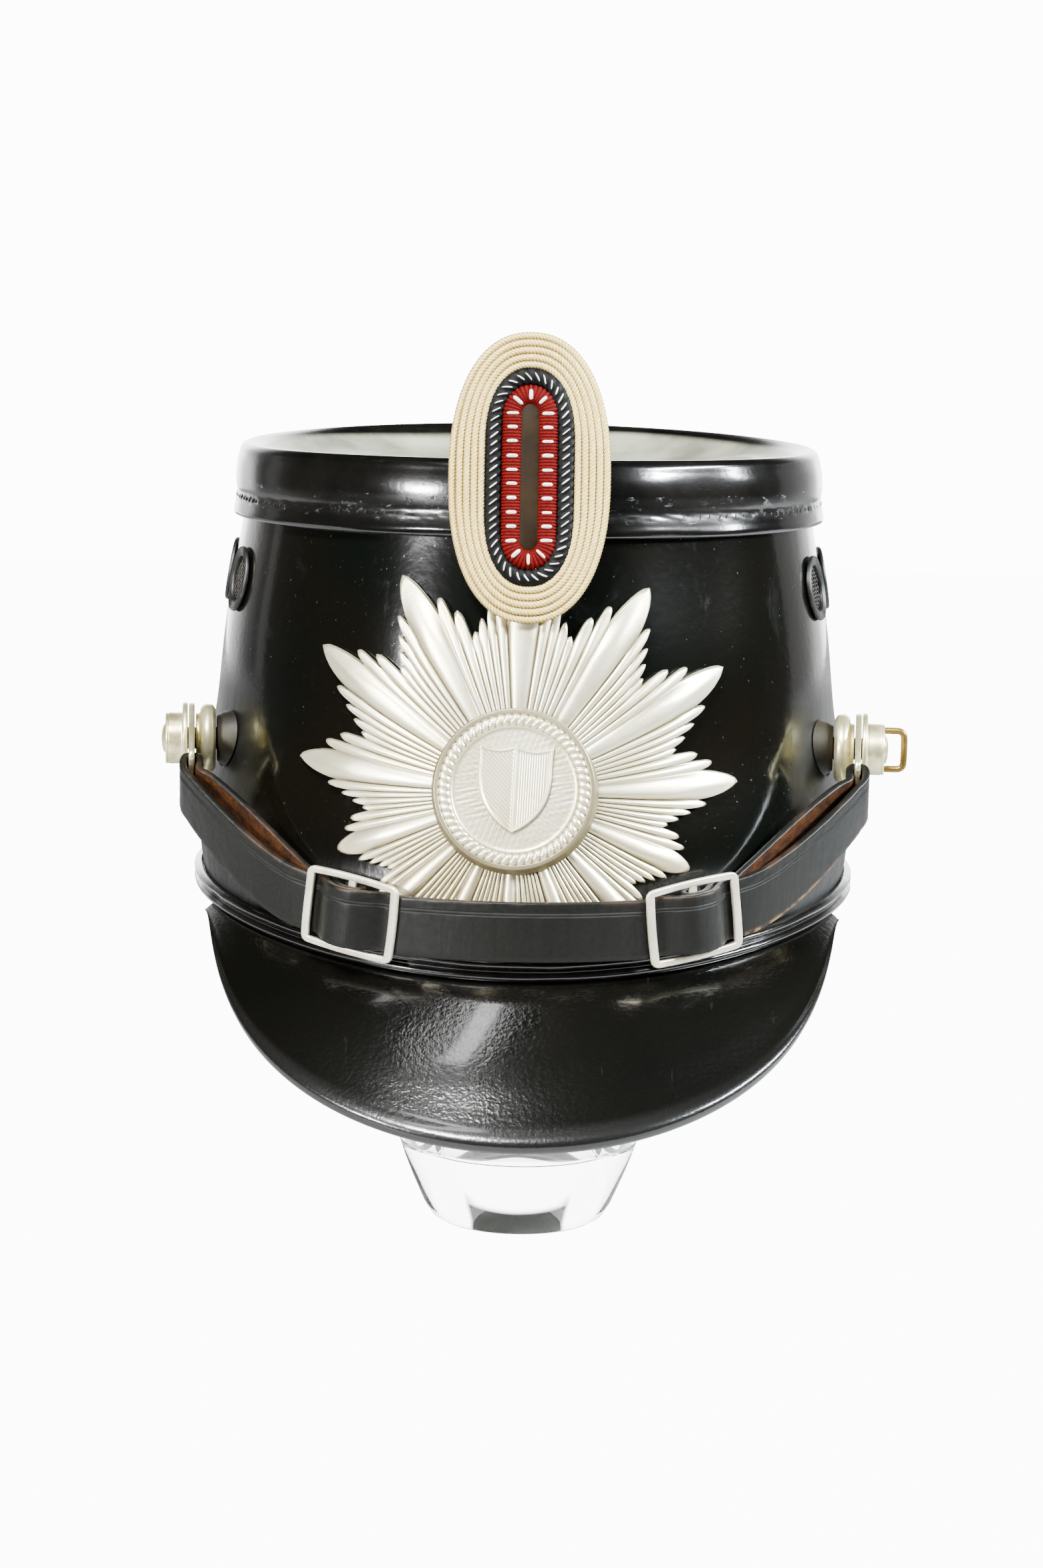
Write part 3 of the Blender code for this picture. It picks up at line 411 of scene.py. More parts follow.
def lacquerFinish():
    # Black lacquer on leather: deep gloss with faint greenish and brown drift, scuffs and dust.
    f = Finish("blackLacquer", coatRough=0.09, ior=1.5)
    scuff = f.spots(0.56, 0.78, 60, f.place((1, 1, 0.6)), detail=6, rough=0.7, warp=0.6)
    speck = f.spots(0.70, 0.78, 900, detail=2)
    f.tones(
        f.spots(0.35, 0.7, 14, detail=2), (0.0009, 0.0014, 0.0010), (0.0022, 0.0016, 0.0009),
        (scuff * 0.4, (0.008, 0.0085, 0.0075)), (speck * 0.4, (0.05, 0.05, 0.045)),
    )
    x, z = f.axis("X"), f.axis("Z")
    rubbed = f.fall(z, 0.112, 0.124)
    brushed = f.noise(240, f.place((1, 1, 0.2)), detail=5, rough=0.7)
    satin = f.ease(x * x, 0.0045, 0.0057) * f.fall(z, 0.155, 0.168)
    f.put("coat", (1.0 - satin) * 0.3)
    return f.relief(
        scuff * 0.14 + speck * 0.2 + rubbed * brushed * 0.42 + satin * (brushed * 0.25 + 0.18) + 0.12,
        (f.noise(24, detail=1), 0.0010, 0.35), (f.noise(420, detail=2), 0.00010, 0.4),
        (brushed * rubbed, 0.0005, 0.5),
    )


def topFinish():
    # Worn lid leather: rough and greyish on the sunken top, painted paler there as a reflection of the bright
    # surround; scratched gloss on the skirt.
    f = Finish("topLeather", coat=0.35, coatRough=0.10, ior=1.5)
    across = f.axis("Y", "UV")
    sunk = f.fall(across, 0.476, 0.528)
    low = f.ease(across, 0.750, 0.776) * f.fall(across, 0.848, 0.879)
    cloud = f.spots(0.35, 0.7, 45, detail=4, rough=0.6)
    scratch = f.spots(0.60, 0.72, 70, f.place((1, 1, 9), (0.3, 0.2, 0)), detail=5, rough=0.75)
    crack = f.spots(0.60, 0.66, 210, f.place((1, 1, 2.4)), detail=6, rough=0.75) * low
    f.tones(
        cloud, (0.0012, 0.0013, 0.0011), (0.0030, 0.0028, 0.0022),
        # the pale layer on the sunken top is greyish worn leather plus a painted reflection of the bright surround
        (sunk * (cloud * 0.55 + 0.45), (0.23, 0.235, 0.175)), (scratch * 0.3, (0.016, 0.015, 0.013)),
        (crack * f.spots(0.55, 0.66, 26) * 0.6, (0.16, 0.155, 0.15)),
    )
    return f.relief(
        sunk * (cloud * 0.16 + 0.22) + scratch * 0.06 + cloud * 0.04 + low * 0.08 + 0.14,
        (f.noise(700, detail=3), 0.00012, 0.25), (crack, 0.0004, 0.5),
    )


def bandFinish():
    # Satin band leather, brushed lengthwise, brown where it is worn through.
    f = Finish("bandLeather", coat=0.3, coatRough=0.12)
    grain = f.noise(260, f.place((1, 1, 0.12)), detail=4)
    worn = f.spots(0.66, 0.76, 55, detail=6, rough=0.7)
    f.tones(grain, (0.0014, 0.0014, 0.0012), (0.0045, 0.0042, 0.0034), (worn, (0.085, 0.038, 0.020)))
    return f.relief(grain * 0.12 + worn * 0.3 + 0.11, (grain, 0.0002, 0.4), (f.noise(60, detail=2), 0.0006, 0.35))


def visorFinish():
    # Pebbled gloss lacquer, with the rim's lip worn grey.
    f = Finish("visorLacquer", coat=0.35, coatRough=0.07, ior=1.5)
    along = f.axis("Y", "UV")
    lip = f.ease(along, 0.415, 0.445) * f.fall(along, 0.56, 0.60)
    grain = f.noise(1400, detail=2)
    scratch = f.spots(0.64, 0.74, 50, f.place((7, 1, 1), (0, 0.5, 0.3)), detail=5, rough=0.8)
    f.tones(
        f.noise(30, detail=3), (0.0010, 0.0012, 0.0009), (0.0020, 0.0018, 0.0013),
        (scratch * 0.35, (0.018, 0.0175, 0.016)), (lip * (grain * 0.5 + 0.35), (0.005, 0.0049, 0.0046)),
    )
    pebbles = (f.noise(900, detail=3, rough=0.6), 0.00018, 0.40), (f.noise(430, detail=3, rough=0.6), 0.00035, 0.15)
    return f.relief(scratch * 0.12 + grain * 0.06 + lip * 0.08 + 0.13, *pebbles)


def strapFinish():
    # Satin black strap leather, finely wrinkled, chafed to tan along the right half's lower edge.
    f = Finish("strapLeather", ior=1.40, level=0.34)
    across = f.axis("Y", "UV")
    crease = f.ease(across, 0.745, 0.755) * f.fall(across, 0.83, 0.84)
    edge = f.fall(across, 0.0, 0.09) * f.ease(f.axis("X"), 0.052, 0.062)
    chafe = f.spots(0.44, 0.60, 170, detail=6, rough=0.75) * edge
    ends = f.ease(across, 0.90, 1.0) * f.spots(0.50, 0.66, 60, detail=4)
    grain = f.noise(1500, detail=3)
    wrinkle = f.noise(420, f.place((1, 1, 0.14)), detail=4, rough=0.65)
    f.tones(
        grain, (0.0010, 0.0012, 0.0008), (0.0034, 0.0034, 0.0022),
        (ends * 0.6, (0.030, 0.016, 0.009)), (chafe, (0.30, 0.155, 0.060)),
    )
    rough = grain * 0.12 + wrinkle * 0.10 + chafe * 0.3 + crease * 0.25 + 0.32
    return f.relief(rough, (grain, 0.00010, 0.30), (wrinkle, 0.0003, 0.45))


def suedeFinish():
    # Rust-brown mottled flesh side of the strap.
    f = Finish("strapSuede", level=0.1)
    mottle = f.noise(260, detail=6, rough=0.7, warp=0.4)
    fibre = f.noise(2200, detail=3)
    f.tones(
        f.ease(mottle, 0.34, 0.66), (0.0050, 0.0019, 0.0006), (0.044, 0.0142, 0.0026),
        (fibre * 0.5, (0.028, 0.0092, 0.0020)),
    )
    return f.relief(fibre * 0.2 + 0.75, (fibre, 0.0003, 0.6), (mottle, 0.0004, 0.3))


def paintFinish():
    # Chipped black paint on the ventilator rims.
    f = Finish("ventPaint", ior=1.5)
    chip = f.spots(0.62, 0.70, 500, detail=4, rough=0.7)
    f.tones(chip * 0.6, (0.0022, 0.0022, 0.0020), (0.05, 0.047, 0.042))
    return f.relief(chip * 0.2 + 0.46, (f.noise(900, detail=3), 0.00004, 0.4))


def starFinish():
    # Matt silvery pressed metal with tan tarnish and painted shade in its grooves, and painted shade towards its
    # lower part.
    f = Finish("starAlloy", metal=0.86)
    cloud = f.noise(90, detail=5, rough=0.65)
    fine = f.noise(2400, detail=2)
    # painted shade and tarnish: where the mark is low, in the grooves and recesses, the colour goes dark tan
    grooveTarnishAndShade = f.fall(f.axis("Y", "UV"), 0.10, 0.92)
    # painted shade: darker tan towards the bottom of the star, where its lower rays face away from the light
    foot = f.fall(f.axis("Z"), 0.106, 0.140)
    tan = f.spots(0.38, 0.66, 45, detail=5, rough=0.7)
    f.tones(
        f.ease(cloud, 0.35, 0.7), (0.82, 0.75, 0.50), (1.0, 0.97, 0.76),
        # tarnish in spots plus the painted shade low down, then the painted shade and tarnish in the grooves
        (tan * 0.34 + foot * 0.40, (0.44, 0.35, 0.18)),
        (grooveTarnishAndShade * (tan * 0.12 + foot * 0.06 + 0.80), (0.085, 0.060, 0.022)),
    )
    return f.relief(fine * 0.10 + cloud * 0.10 + 0.30, (fine, 0.00006, 0.5), (cloud, 0.0002, 0.3))


def glassFinish():
    # Clear moulded glass, faintly uneven, with light smears.
    f = Finish("clearGlass", glass=1.0, ior=1.47, colour=(0.97, 0.985, 0.975))
    smears = f.ease(f.noise(30, detail=5, rough=0.7), 0.55, 0.8, 0.0, 0.035)
    return f.relief(smears, (f.noise(55, detail=1), 0.0008, 0.12))


metals = dict(
    postAlloy=dict(
        dark=(0.62, 0.54, 0.26), light=(0.94, 0.89, 0.58), tarnish=(0.26, 0.20, 0.06),
        rough=0.22, stretch=(1, 1, 0.2), amount=0.55, metal=0.85,
    ),
    # painted shade: the seats are the posts' alloy, coloured near black for the shade round the posts' feet
    seatAlloyPaintedShade=dict(
        dark=(0.004, 0.0035, 0.002), light=(0.022, 0.018, 0.009), tarnish=(0.004, 0.003, 0.002),
        rough=0.45, metal=0.5,
    ),
    buckleSteel=dict(
        dark=(0.66, 0.60, 0.44), light=(0.86, 0.81, 0.66), tarnish=(0.36, 0.26, 0.12),
        rough=0.26, scale=700, amount=0.35, metal=0.75,
    ),
    brassWire=dict(
        dark=(0.11, 0.065, 0.013), light=(0.22, 0.14, 0.034), tarnish=(0.08, 0.045, 0.012), rough=0.26, metal=0.75,
    ),
    ventWire=dict(dark=(0.035, 0.032, 0.028), light=(0.07, 0.065, 0.058), tarnish=(0.10, 0.07, 0.05), rough=0.45),
    oldGold=dict(
        dark=(0.0068, 0.0034, 0.0007), light=(0.0125, 0.0062, 0.0013), tarnish=(0.005, 0.0025, 0.0008),
        rough=0.55, metal=0.0, level=0.1,
    ),
)
# deep is the painted shade colour in each cord's hollows and undersides
cords = dict(
    oldThread=dict(dark=(0.0030, 0.0030, 0.0028), light=(0.020, 0.019, 0.017), rough=0.6, metal=0.0),
    creamCord=dict(
        dark=(0.50, 0.36, 0.105), light=(0.84, 0.68, 0.255), deep=(0.15, 0.090, 0.022), rough=0.46, metal=0.25,
    ),
    silverThread=dict(dark=(0.55, 0.51, 0.42), light=(0.92, 0.90, 0.84), rough=0.32, metal=0.3),
    blackCord=dict(
        dark=(0.0007, 0.0008, 0.0009), light=(0.0026, 0.0027, 0.0030), deep=(0.0005, 0.0005, 0.0006),
        rough=0.46, metal=0.0, level=0.10,
    ),
    redCord=dict(
        dark=(0.050, 0.0004, 0.0005), light=(0.130, 0.0014, 0.0012), deep=(0.022, 0.0002, 0.0002),
        rough=0.60, metal=0.0, level=0.06,
    ),
)


def metalFinish(name, dark, light, tarnish, rough, scale=350, stretch=(1, 1, 1), amount=0.4, metal=1.0, level=0.5):
    # Bare metal: two tones drifting, fine brushing and tarnish in patches.
    f = Finish(name, metal=metal, level=level)
    drift = f.noise(90, detail=4, rough=0.6)
    fine = f.noise(scale, f.place(stretch), detail=3)
    f.tones(f.ease(drift, 0.3, 0.7), dark, light, (f.spots(0.5, 0.72, 120, detail=6, rough=0.75) * amount, tarnish))
    return f.relief(fine * 0.12 + drift * 0.10 + rough, (fine, 0.00008, 0.4))


def cordFinish(name, dark, light, rough, metal, deep=None, level=0.3):
    # Wound thread: fine fibres in two tones, with painted shade in the deep colour where the mark is low, in the
    # hollows between the turns.
    f = Finish(name, metal=metal, level=level)
    fibre = f.noise(2600, detail=3)
    # painted shade: where the mark is low the deep colour goes over
    hollowShade = [(f.fall(f.axis("Y", "UV"), 0.15, 0.75) * 0.85, deep)] if deep else []
    f.tones(f.ease(fibre, 0.35, 0.65), dark, light, (f.spots(0.45, 0.75, 120, detail=4) * 0.35, dark), *hollowShade)
    return f.relief(fibre * 0.2 + rough, (fibre, 0.0001, 0.5))


# the crown's surface, on which almost everything is placed


def edgeHeight(theta):
    return crown["crest"] - crown["height"] - crown["edgeDip"] / 2 * np.cos(2 * theta)


def crestShift(theta):
    return crown["saddle"] / 2 * np.cos(2 * theta) - crown["tilt"] / 2 * np.cos(theta)


def crestHeight(theta):
    return crown["crest"] + crestShift(theta)


def crownHalf(theta, z):
    # Half width and half length at a height, from the shell's side line.
    low = edgeHeight(theta)
    share = (z - low) / (crestHeight(theta) - low)
    taper = curveThrough(crown["taper"], share) + np.minimum(share, 0) + np.maximum(share - 1, 0)
    wide = crown["widthLow"] + taper * (crown["widthTop"] - crown["widthLow"])
    long = crown["lengthLow"] + taper * (crown["lengthTop"] - crown["lengthLow"])
    return wide / 2, long / 2


def crownPoint(theta, z, out=0.0):
    # x = (w + out) sin a, y = -(l + out) cos a at an angle from the front and a height.
    wide, long = crownHalf(theta, z)
    return grid3((wide + out) * np.sin(theta), -(long + out) * np.cos(theta), z)


def crownPlace(point):
    # Angle from the front and distance out of points near the crown.
    x, y, z = np.moveaxis(np.asarray(point, float), -1, 0)
    theta, out = np.arctan2(x, -y), 0.0
    for _ in range(8):
        wide, long = crownHalf(theta, z)
        theta = np.arctan2(x / (wide + out), -y / (long + out))
        out = (x - wide * np.sin(theta)) * np.sin(theta) + (-y - long * np.cos(theta)) * np.cos(theta)
    return theta, out


def crownFrame(theta, z):
    # Across, up and outward directions on the crown.
    step = 0.002
    across = unit(crownPoint(theta + step, z) - crownPoint(theta - step, z))
    up = unit(crownPoint(theta, z + step) - crownPoint(theta, z - step))
    outward = unit(np.cross(across, up))
    return across, np.cross(outward, across), outward


def angleOfArc(arc, z):
    # Angle from the front after a run of arc at a height: Newton on the arc's integral, by Gauss points.
    nodes, weights = np.polynomial.legendre.leggauss(8)
    wide, long = crownHalf(arc / crown["mean"], z)
    theta = arc / wide
    for _ in range(5):
        run = 0
        for n, w in zip(nodes, weights):
            a = theta * (n + 1) / 2
            run = run + w * theta / 2 * np.hypot(wide * np.cos(a), long * np.sin(a))
        theta = theta + (arc - run) / np.hypot(wide * np.cos(theta), long * np.sin(theta))
    return theta


def roundRun(theta, z):
    # Where noise is read on the crown so that it closes on itself all round.
    return crown["mean"] * np.sin(theta), crown["mean"] * np.cos(theta), z


def postFrame():
    # Where the right post leaves the crown, and its axes (across points back).
    outward, back = turned(np.array([1.0, 0, 0]), np.array([0, 1.0, 0]), -math.radians(post["turn"]))
    foot = crownPoint(math.radians(post["angle"]), float(edgeHeight(math.pi / 2)) + post["high"])
    return foot, back, np.array([0.0, 0.0, 1.0]), outward


# glass stand

stand = dict(
    height=0.2143, rim=0.0450, wall=0.0030, base=0.0190, bowl=0.0012, lip=0.0013, sides=128,
    line=[
        (0, 0.545), (0.010, 0.580), (0.045, 0.660), (0.093, 0.750),
        (0.170, 0.845), (0.300, 0.930), (0.550, 0.975), (1, 1),
    ],
    foot=[(0, 0.0014), (0.5, 0.00126), (0.80, 0.0003), (0.86, 0), (0.95, 0.0001)],
)


def makeStand():
    # A turned vessel: r(z) from the side line, wall inside it, a bowl-shaped floor and a recessed foot.
    s = stand
    h = np.linspace(0.004, 1, 60)
    outer = np.column_stack([curveThrough(s["line"], h) * s["rim"], h * s["height"]])
    high = s["base"] * 1.2
    inner = outer[outer[:, 1] > high + 0.001] - (s["wall"], 0)
    a = np.linspace(math.pi / 2, 0, 16)
    floor = s["base"] + s["bowl"]
    bowl = np.column_stack([inner[0, 0] * np.sin(a), floor + (high - s["base"]) * (1 - np.cos(a)) ** 0.9])
    foot = spline(np.array(s["foot"]) * (outer[0, 0], 1), 24)
    lip = softCorners([outer[-3], outer[-1], outer[-1] - (s["wall"], 0), inner[-3]], s["lip"], 8)
    profile = np.concatenate([foot, outer[:-2], lip[1:-1], inner[::-1][2:], bowl[1:], [(0, floor)]])
    grid = patch(lathe(profile, s["sides"]), wrapCols=True)
    addPiece("glassVessel", grid, glassFinish(), "glass_stand", sharp=50)


# crown shell and its ventilators' places

shell = dict(cols=256, rows=54, dent=0.00022, dentSize=0.045, ventHole=0.0073, postHole=0.0033, plug=0.006)
vents = dict(
    drop=0.0375, angle=71.0, apart=0.0350, radius=0.0090, barrel=0.0070, rim=0.0011, wall=0.0007,
    rib=0.00010, pitch=0.00105, wire=0.00017, sunk=0.0003, sag=0.105,
)


def ventFrames():
    # Each ventilator's side and name, and its frame on the crown.
    z = crown["crest"] - vents["drop"]
    front = math.radians(vents["angle"])
    theta = np.linspace(0, math.pi, 721)
    arc = runOf(crownPoint(theta, z))
    rear = float(np.interp(np.interp(front, theta, arc) + vents["apart"], arc, theta))
    return [
        (side, f"{hand}_{end}", (crownPoint(angle, z), *crownFrame(angle, z)))
        for side, hand in hands for angle, end in ((front, "front"), (rear, "rear"))
    ]


def makeShell(finish):
    # Tube between the edge and the rim: dents press it in by soft noise.
    s = shell
    theta = turnAngles(s["cols"])[None]
    low, top = edgeHeight(theta), crestHeight(theta) - lid["roll"] - gap
    z = low + np.linspace(0, 1, s["rows"])[:, None] * (top - low)
    dent = s["dent"] * (ripple(4, s["dentSize"], *roundRun(theta, z)) - 1)
    grid = np.concatenate([crownPoint(theta, z, dent), crownPoint(theta, z[::-2], -crown["wall"])])
    piece = addPiece("crownShell", patch(grid, True, True), finish, "crown_shell", sharp=50)

    def plug(radius, place, side):
        profile = [(0, s["plug"]), (radius, s["plug"]), (radius, -s["plug"]), (0, -s["plug"])]
        return sided(lathe(profile, 40), place, side)

    holes = [plug(s["ventHole"], place, side) for side, _, place in ventFrames()]
    cutAway(piece, holes + [plug(s["postHole"], postFrame(), side) for side, _ in hands])


# crown top

lid = dict(
    cols=408, width=0.0220, depth=0.0075, wall=0.0022, roll=0.0050, skirt=0.0195, bulge=0.0031,
    wave=0.0008, dent=0.0007, dentSize=0.042, crack=0.00022, seam=0.74, soft=0.00022,
    dish=[(1, 1), (0.66, 0.90), (0.36, 0.62), (0.16, 0.24), (0.05, 0.05)],
    side=[
        (0.40, 0), (0.85, 0.05), (1.00, 0.17), (1.05, 0.42), (0.86, 0.62),
        (0.75, 0.69), (0.775, 0.76), (0.82, 0.86), (0.86, 0.95), (0.76, 1),
    ],
    # the seam's thread ends: girth they go round, spacing, the thread's radius and the crown's
    girth=0.545, pitch=0.0031, thread=0.00022, radius=0.087,
)


def makeLid(finish, thread):
    # Rings from the middle of the sunken floor, over the rolled rim and down the skirt, then back inside.
    s = lid
    theta = turnAngles(s["cols"])[None]
    crest = crestHeight(theta)
    rim = s["bulge"] * 0.40
    wave = s["wave"] * (np.sin(3 * theta + 0.6) + 0.6 * np.sin(5 * theta))

    def dishRows(width, depth, wall, dents):
        width, depth = np.asarray(width)[:, None], np.asarray(depth)[:, None]
        points = crownPoint(theta, crest + 0 * width, rim - s["width"] * width)
        sunk = crown["crest"] - s["depth"] * depth - wall
        points[..., 2] = sunk + (crestShift(theta) + wave * 4 * depth) * (1 - depth)
        dent = ripple(7, s["dentSize"], points[..., 0], points[..., 1])
        points[..., 2] += dents * s["dent"] * smoothStep(0.3, 0.9, depth) * dent
        return points

    line = [(rim - s["width"] * w, -s["depth"] * d) for w, d in s["dish"]]
    line = spline(line + [(s["bulge"] * b, -s["skirt"] * h) for b, h in s["side"]], 112)
    inside = np.arange(len(line)) < np.argmax(line[:, 1])
    floor = dishRows([1.0], [1.0], 0, 0)[0] * np.linspace(0, 1, 27)[:-1, None, None]
    dent = ripple(7, s["dentSize"], floor[..., 0], floor[..., 1])
    floor[..., 2] = crown["crest"] - s["depth"] + s["dent"] * dent
    dish = dishRows((rim - line[inside, 0]) / s["width"], -line[inside, 1] / s["depth"], 0, 1)
    out, drop = line[~inside, 0][:, None], -line[~inside, 1][:, None]
    z = crest - drop
    h = drop / s["skirt"]
    around = roundRun(theta, z)
    crack = ripple(11, 0.0032, *around) * 0.6 + ripple(12, 0.0011, *around) * 0.5
    crack = s["crack"] * np.exp(-((h - s["seam"]) / 0.045) ** 2) * crack
    soft = ripple(13, 0.030, *around) * s["soft"] * smoothStep(0.02, 0.3, h) * (1 - smoothStep(0.9, 1, h))
    back = [(s["skirt"] * d, o) for d, o in ((1.008, 0.0020), (1.010, 0.0012), (1.0, gap), (0.6, gap))]
    back += [(s["roll"], gap), (s["roll"], -crown["wall"] - gap)]
    back = np.array(back)[:, :, None]
    under = dishRows([0.36, 0.66, 1.0], [0.62, 0.90, 1.0], s["wall"], 0)
    middle = np.broadcast_to([0, 0, crown["crest"] - s["depth"] - s["wall"]], (1, s["cols"], 3))
    rows = [floor, dish, crownPoint(theta, z, out + crack + soft), crownPoint(theta, crest - back[:, 0], back[:, 1])]
    patches = [patch(np.concatenate([*rows, under, middle]), wrapCols=True)]

    # thread ends of the seam under the bulge, short slanted capsules
    count = int(s["girth"] / s["pitch"])
    draw = np.random.default_rng(21)
    centre = turnAngles(count) + draw.uniform(-0.15, 0.15, count) * s["pitch"] / s["radius"]
    slant = draw.uniform(0.2, 0.8, count)
    length = draw.uniform(0.0012, 0.0021, count)
    t = np.linspace(-0.5, 0.5, 5)
    high = crestHeight(centre)[:, None] - s["skirt"] * 0.745 + (t * length[:, None])
    turn = centre[:, None] + t * (length * slant)[:, None] / s["radius"]
    lift = s["bulge"] * 0.74 + 0.00005 - 0.0003 * (2 * t[None]) ** 2
    across, _, outward = crownFrame(turn, high)
    a = turnAngles(6)
    ring = s["thread"] * (across[:, :, None] * np.cos(a)[:, None] + outward[:, :, None] * np.sin(a)[:, None])
    fat = np.sqrt(np.clip(1.02 - (2 * t) ** 2, 0.02, 1))[None, :, None, None]
    tubes = crownPoint(turn, high, lift)[:, :, None] + ring * fat
    patches += [patch(capped(tube), wrapCols=True, paint=1) for tube in tubes]
    addPiece("crownLid", patches, [finish, thread], "crown_top", sharp=60)


# head band

band = dict(
    cols=400, height=0.0056, bulge=0.0030, wrinkle=0.00016, wrinkleSize=0.012,
    side=[
        (0.42, 0), (0.80, 0.04), (0.98, 0.13), (1.00, 0.25), (0.84, 0.38), (0.56, 0.47),
        (0.60, 0.55), (0.80, 0.68), (0.82, 0.80), (0.66, 0.92), (0.38, 1),
    ],
)


def makeBand(finish):
    # Two beads round the lower edge, softly wrinkled.
    s = band
    theta = turnAngles(s["cols"])[None]
    out, high = spline(np.array(s["side"]) * (s["bulge"], s["height"]), 40).T[..., None]
    z = edgeHeight(theta) + high
    soft = s["wrinkle"] * ripple(31, s["wrinkleSize"], *roundRun(theta, z)) * np.sin(math.pi * high / s["height"])
    back = crownPoint(theta, edgeHeight(theta) + np.array([[s["height"]], [0.0]]), gap)
    grid = np.concatenate([crownPoint(theta, z, out + soft), back])
    addPiece("headBand", patch(grid, True, True), finish, "head_band", sharp=70)


# visors

visors = dict(
    wall=0.0028, lip=0.0006, arch=0.0015, root=0.05, fullness=1.5, length=0.045, soft=0.00018, cols=168,
    # share of the run, then height as a share of the lip above and of the wall below
    above=[(0, 0), (0.30, 0), (0.62, 0), (0.84, 0), (0.885, 1 / 6), (0.915, 0.8), (0.95, 1.1), (0.98, 0.6)],
    below=[
        (0.998, -0.3), (0.999, -0.65), (0.98, -0.97), (0.94, -1.02), (0.86, -1), (0.62, -1), (0.30, -1), (0.04, -1),
    ],
    # name, node, middle, spread, reach, drop and flare
    peaks=[
        ("frontVisor", "front_visor", 0.0, 67.0, 0.0330, 0.0350, 0.0435),
        ("neckPeak", "neck_peak", math.pi, 47.0, 0.0190, 0.0150, 0.0200),
    ],
)


def makeVisor(finish, name, node, middle, spread, reach, drop, flare):
    # Peak: seam point + run * share, arched and given thickness along its lift, rounded at the rim.
    v = visors
    share = np.sin(np.linspace(-1, 1, v["cols"]) * math.pi / 2)
    theta = middle + share * math.radians(spread)
    top = edgeHeight(theta) - gap
    forward = np.array([math.sin(middle), -math.cos(middle), 0.0])
    sideways = np.array([math.cos(middle), math.sin(middle), 0.0])
    size = np.maximum(np.cos(share * math.pi / 2), 0)[:, None] ** v["fullness"]
    size = v["root"] + (1 - v["root"]) * size
    run = size * (forward * reach - np.array([0, 0, drop]) + sideways * flare * np.sin(theta - middle)[:, None])
    seam = crownPoint(theta, top, 0.0018)
    seat = crownPoint(theta, top, -crown["wall"] * 0.5)
    lift = unit(np.cross(run, unit(np.gradient(seam, axis=0))))
    lift = lift * np.sign(lift[:, 2:3])
    rim = np.vstack([np.array(v["above"]) * (v["length"], v["lip"]), np.array(v["below"]) * (v["length"], v["wall"])])
    along, rise = spline(rim, 104).T[..., None, None]
    along = along / v["length"]
    arch = v["arch"] * 4 * along * (1 - along) * size
    thin = (0.30 + 0.70 * smoothStep(0, 0.16, 1 - np.abs(share)))[:, None]
    grid = seam + run * along + lift * (arch + rise * thin)
    soft = ripple(41, 0.035, *np.moveaxis(grid, -1, 0))[..., None] * v["soft"] * np.sin(np.pi * np.clip(along, 0, 1))
    grid = np.concatenate([grid + lift * soft * size, seat[None]])
    caps = [fan(grid[:, k], grid[:, k].mean(axis=0)) for k in (0, -1)]
    addPiece(name, [patch(grid, wrapRows=True)] + caps, finish, node, sharp=60)


# ventilators


def makeVents(paint, wire):
    # Turned grommets with three fine ribs, and woven screens: wire k lies at x = k p and rises as sin(pi y / p).
    v = vents
    bore, depth = v["barrel"] - v["wall"], crown["wall"] + 2 * gap
    share = np.linspace(0, 1, 26)
    wide = v["radius"] * 0.97
    high = gap + v["rim"] * (0.88 - 0.30 * share) + v["rib"] * np.cos(6 * math.pi * share)
    ribs = np.column_stack([wide + share * (bore + 0.0002 - wide), high])
    rim = [(v["radius"], gap), (v["radius"], gap + v["rim"] * 0.6), *ribs, (bore, gap + v["rim"] * 0.3)]
    rim += [(bore, -depth), (v["barrel"], -depth), (v["barrel"], gap)]
    turnedRim = lathe(softCorners(rim, 0.00025, 2, closed=True), 54)
    turnedRim[..., 2] -= turnedRim[..., 0] ** 2 / 2 / v["sag"]
    tubes = []
    for k in range(-5, 6):
        reach = math.sqrt((bore - gap) ** 2 - (k * v["pitch"]) ** 2)
        run = np.linspace(-reach, reach, 36)
        across = np.full_like(run, k * v["pitch"])
        lift = v["wire"] * 0.9 * np.sin(math.pi * (run / v["pitch"] + k)) - v["sunk"]
        for line in ([across, run, lift], [run, across, -lift - 2 * v["sunk"]]):
            tubes.append(capped(sweep(np.column_stack(line), np.tile((0, 0, 1.0), (36, 1)), circle(v["wire"], 6))))
    for side, name, place in ventFrames():
        rim = sided(turnedRim, place, side, True)
        addPiece(f"ventRim_{name}", rim, paint, f"vent_rim_{name}", sharp=60)
        wires = [sided(tube, place, side) for tube in tubes]
        addPiece(f"ventScreen_{name}", wires, wire, f"vent_mesh_{name}")


# side posts, lugs and hook

post = dict(
    turn=6.0, angle=66.5, high=0.0440, shank=0.0030, inside=0.0025, seat=0.0078, seatHigh=0.0030,
    disc=0.0094, discHigh=0.0042, neck=0.0068, neckHigh=0.0012, flange=0.0098, flangeHigh=0.0014,
    nut=0.0070, nutHigh=0.0046, dome=0.0040, domeHigh=0.0011, sides=72,
    # shares of a radius and a height
    seatSide=[(0.78, 1), (0.90, 0.55), (1, 0)], neckSide=[(1.05, 0), (1, 0.3), (1, 1)],
    discSide=[(0.84, 0), (0.97, 0.18), (1, 0.42), (1, 0.62), (0.95, 0.86), (0.86, 1)],
    domeSide=[(0.86, 0.55), (0.5, 0.9), (0, 1)],
    # share of a radius, metres from a level
    flangeLow=[(0.97, 0), (1, 0.0003)], flangeTop=[(1, -0.0003), (0.96, 0)], nutLow=[(1.02, 0), (1, 0.0003)],
    nutTop=[(1, -0.0009), (0.975, -0.0008), (0.975, -0.0006), (1, -0.0005), (0.97, 0)],
    domeLow=[(1.02, 0), (1, 0.0001)],
)
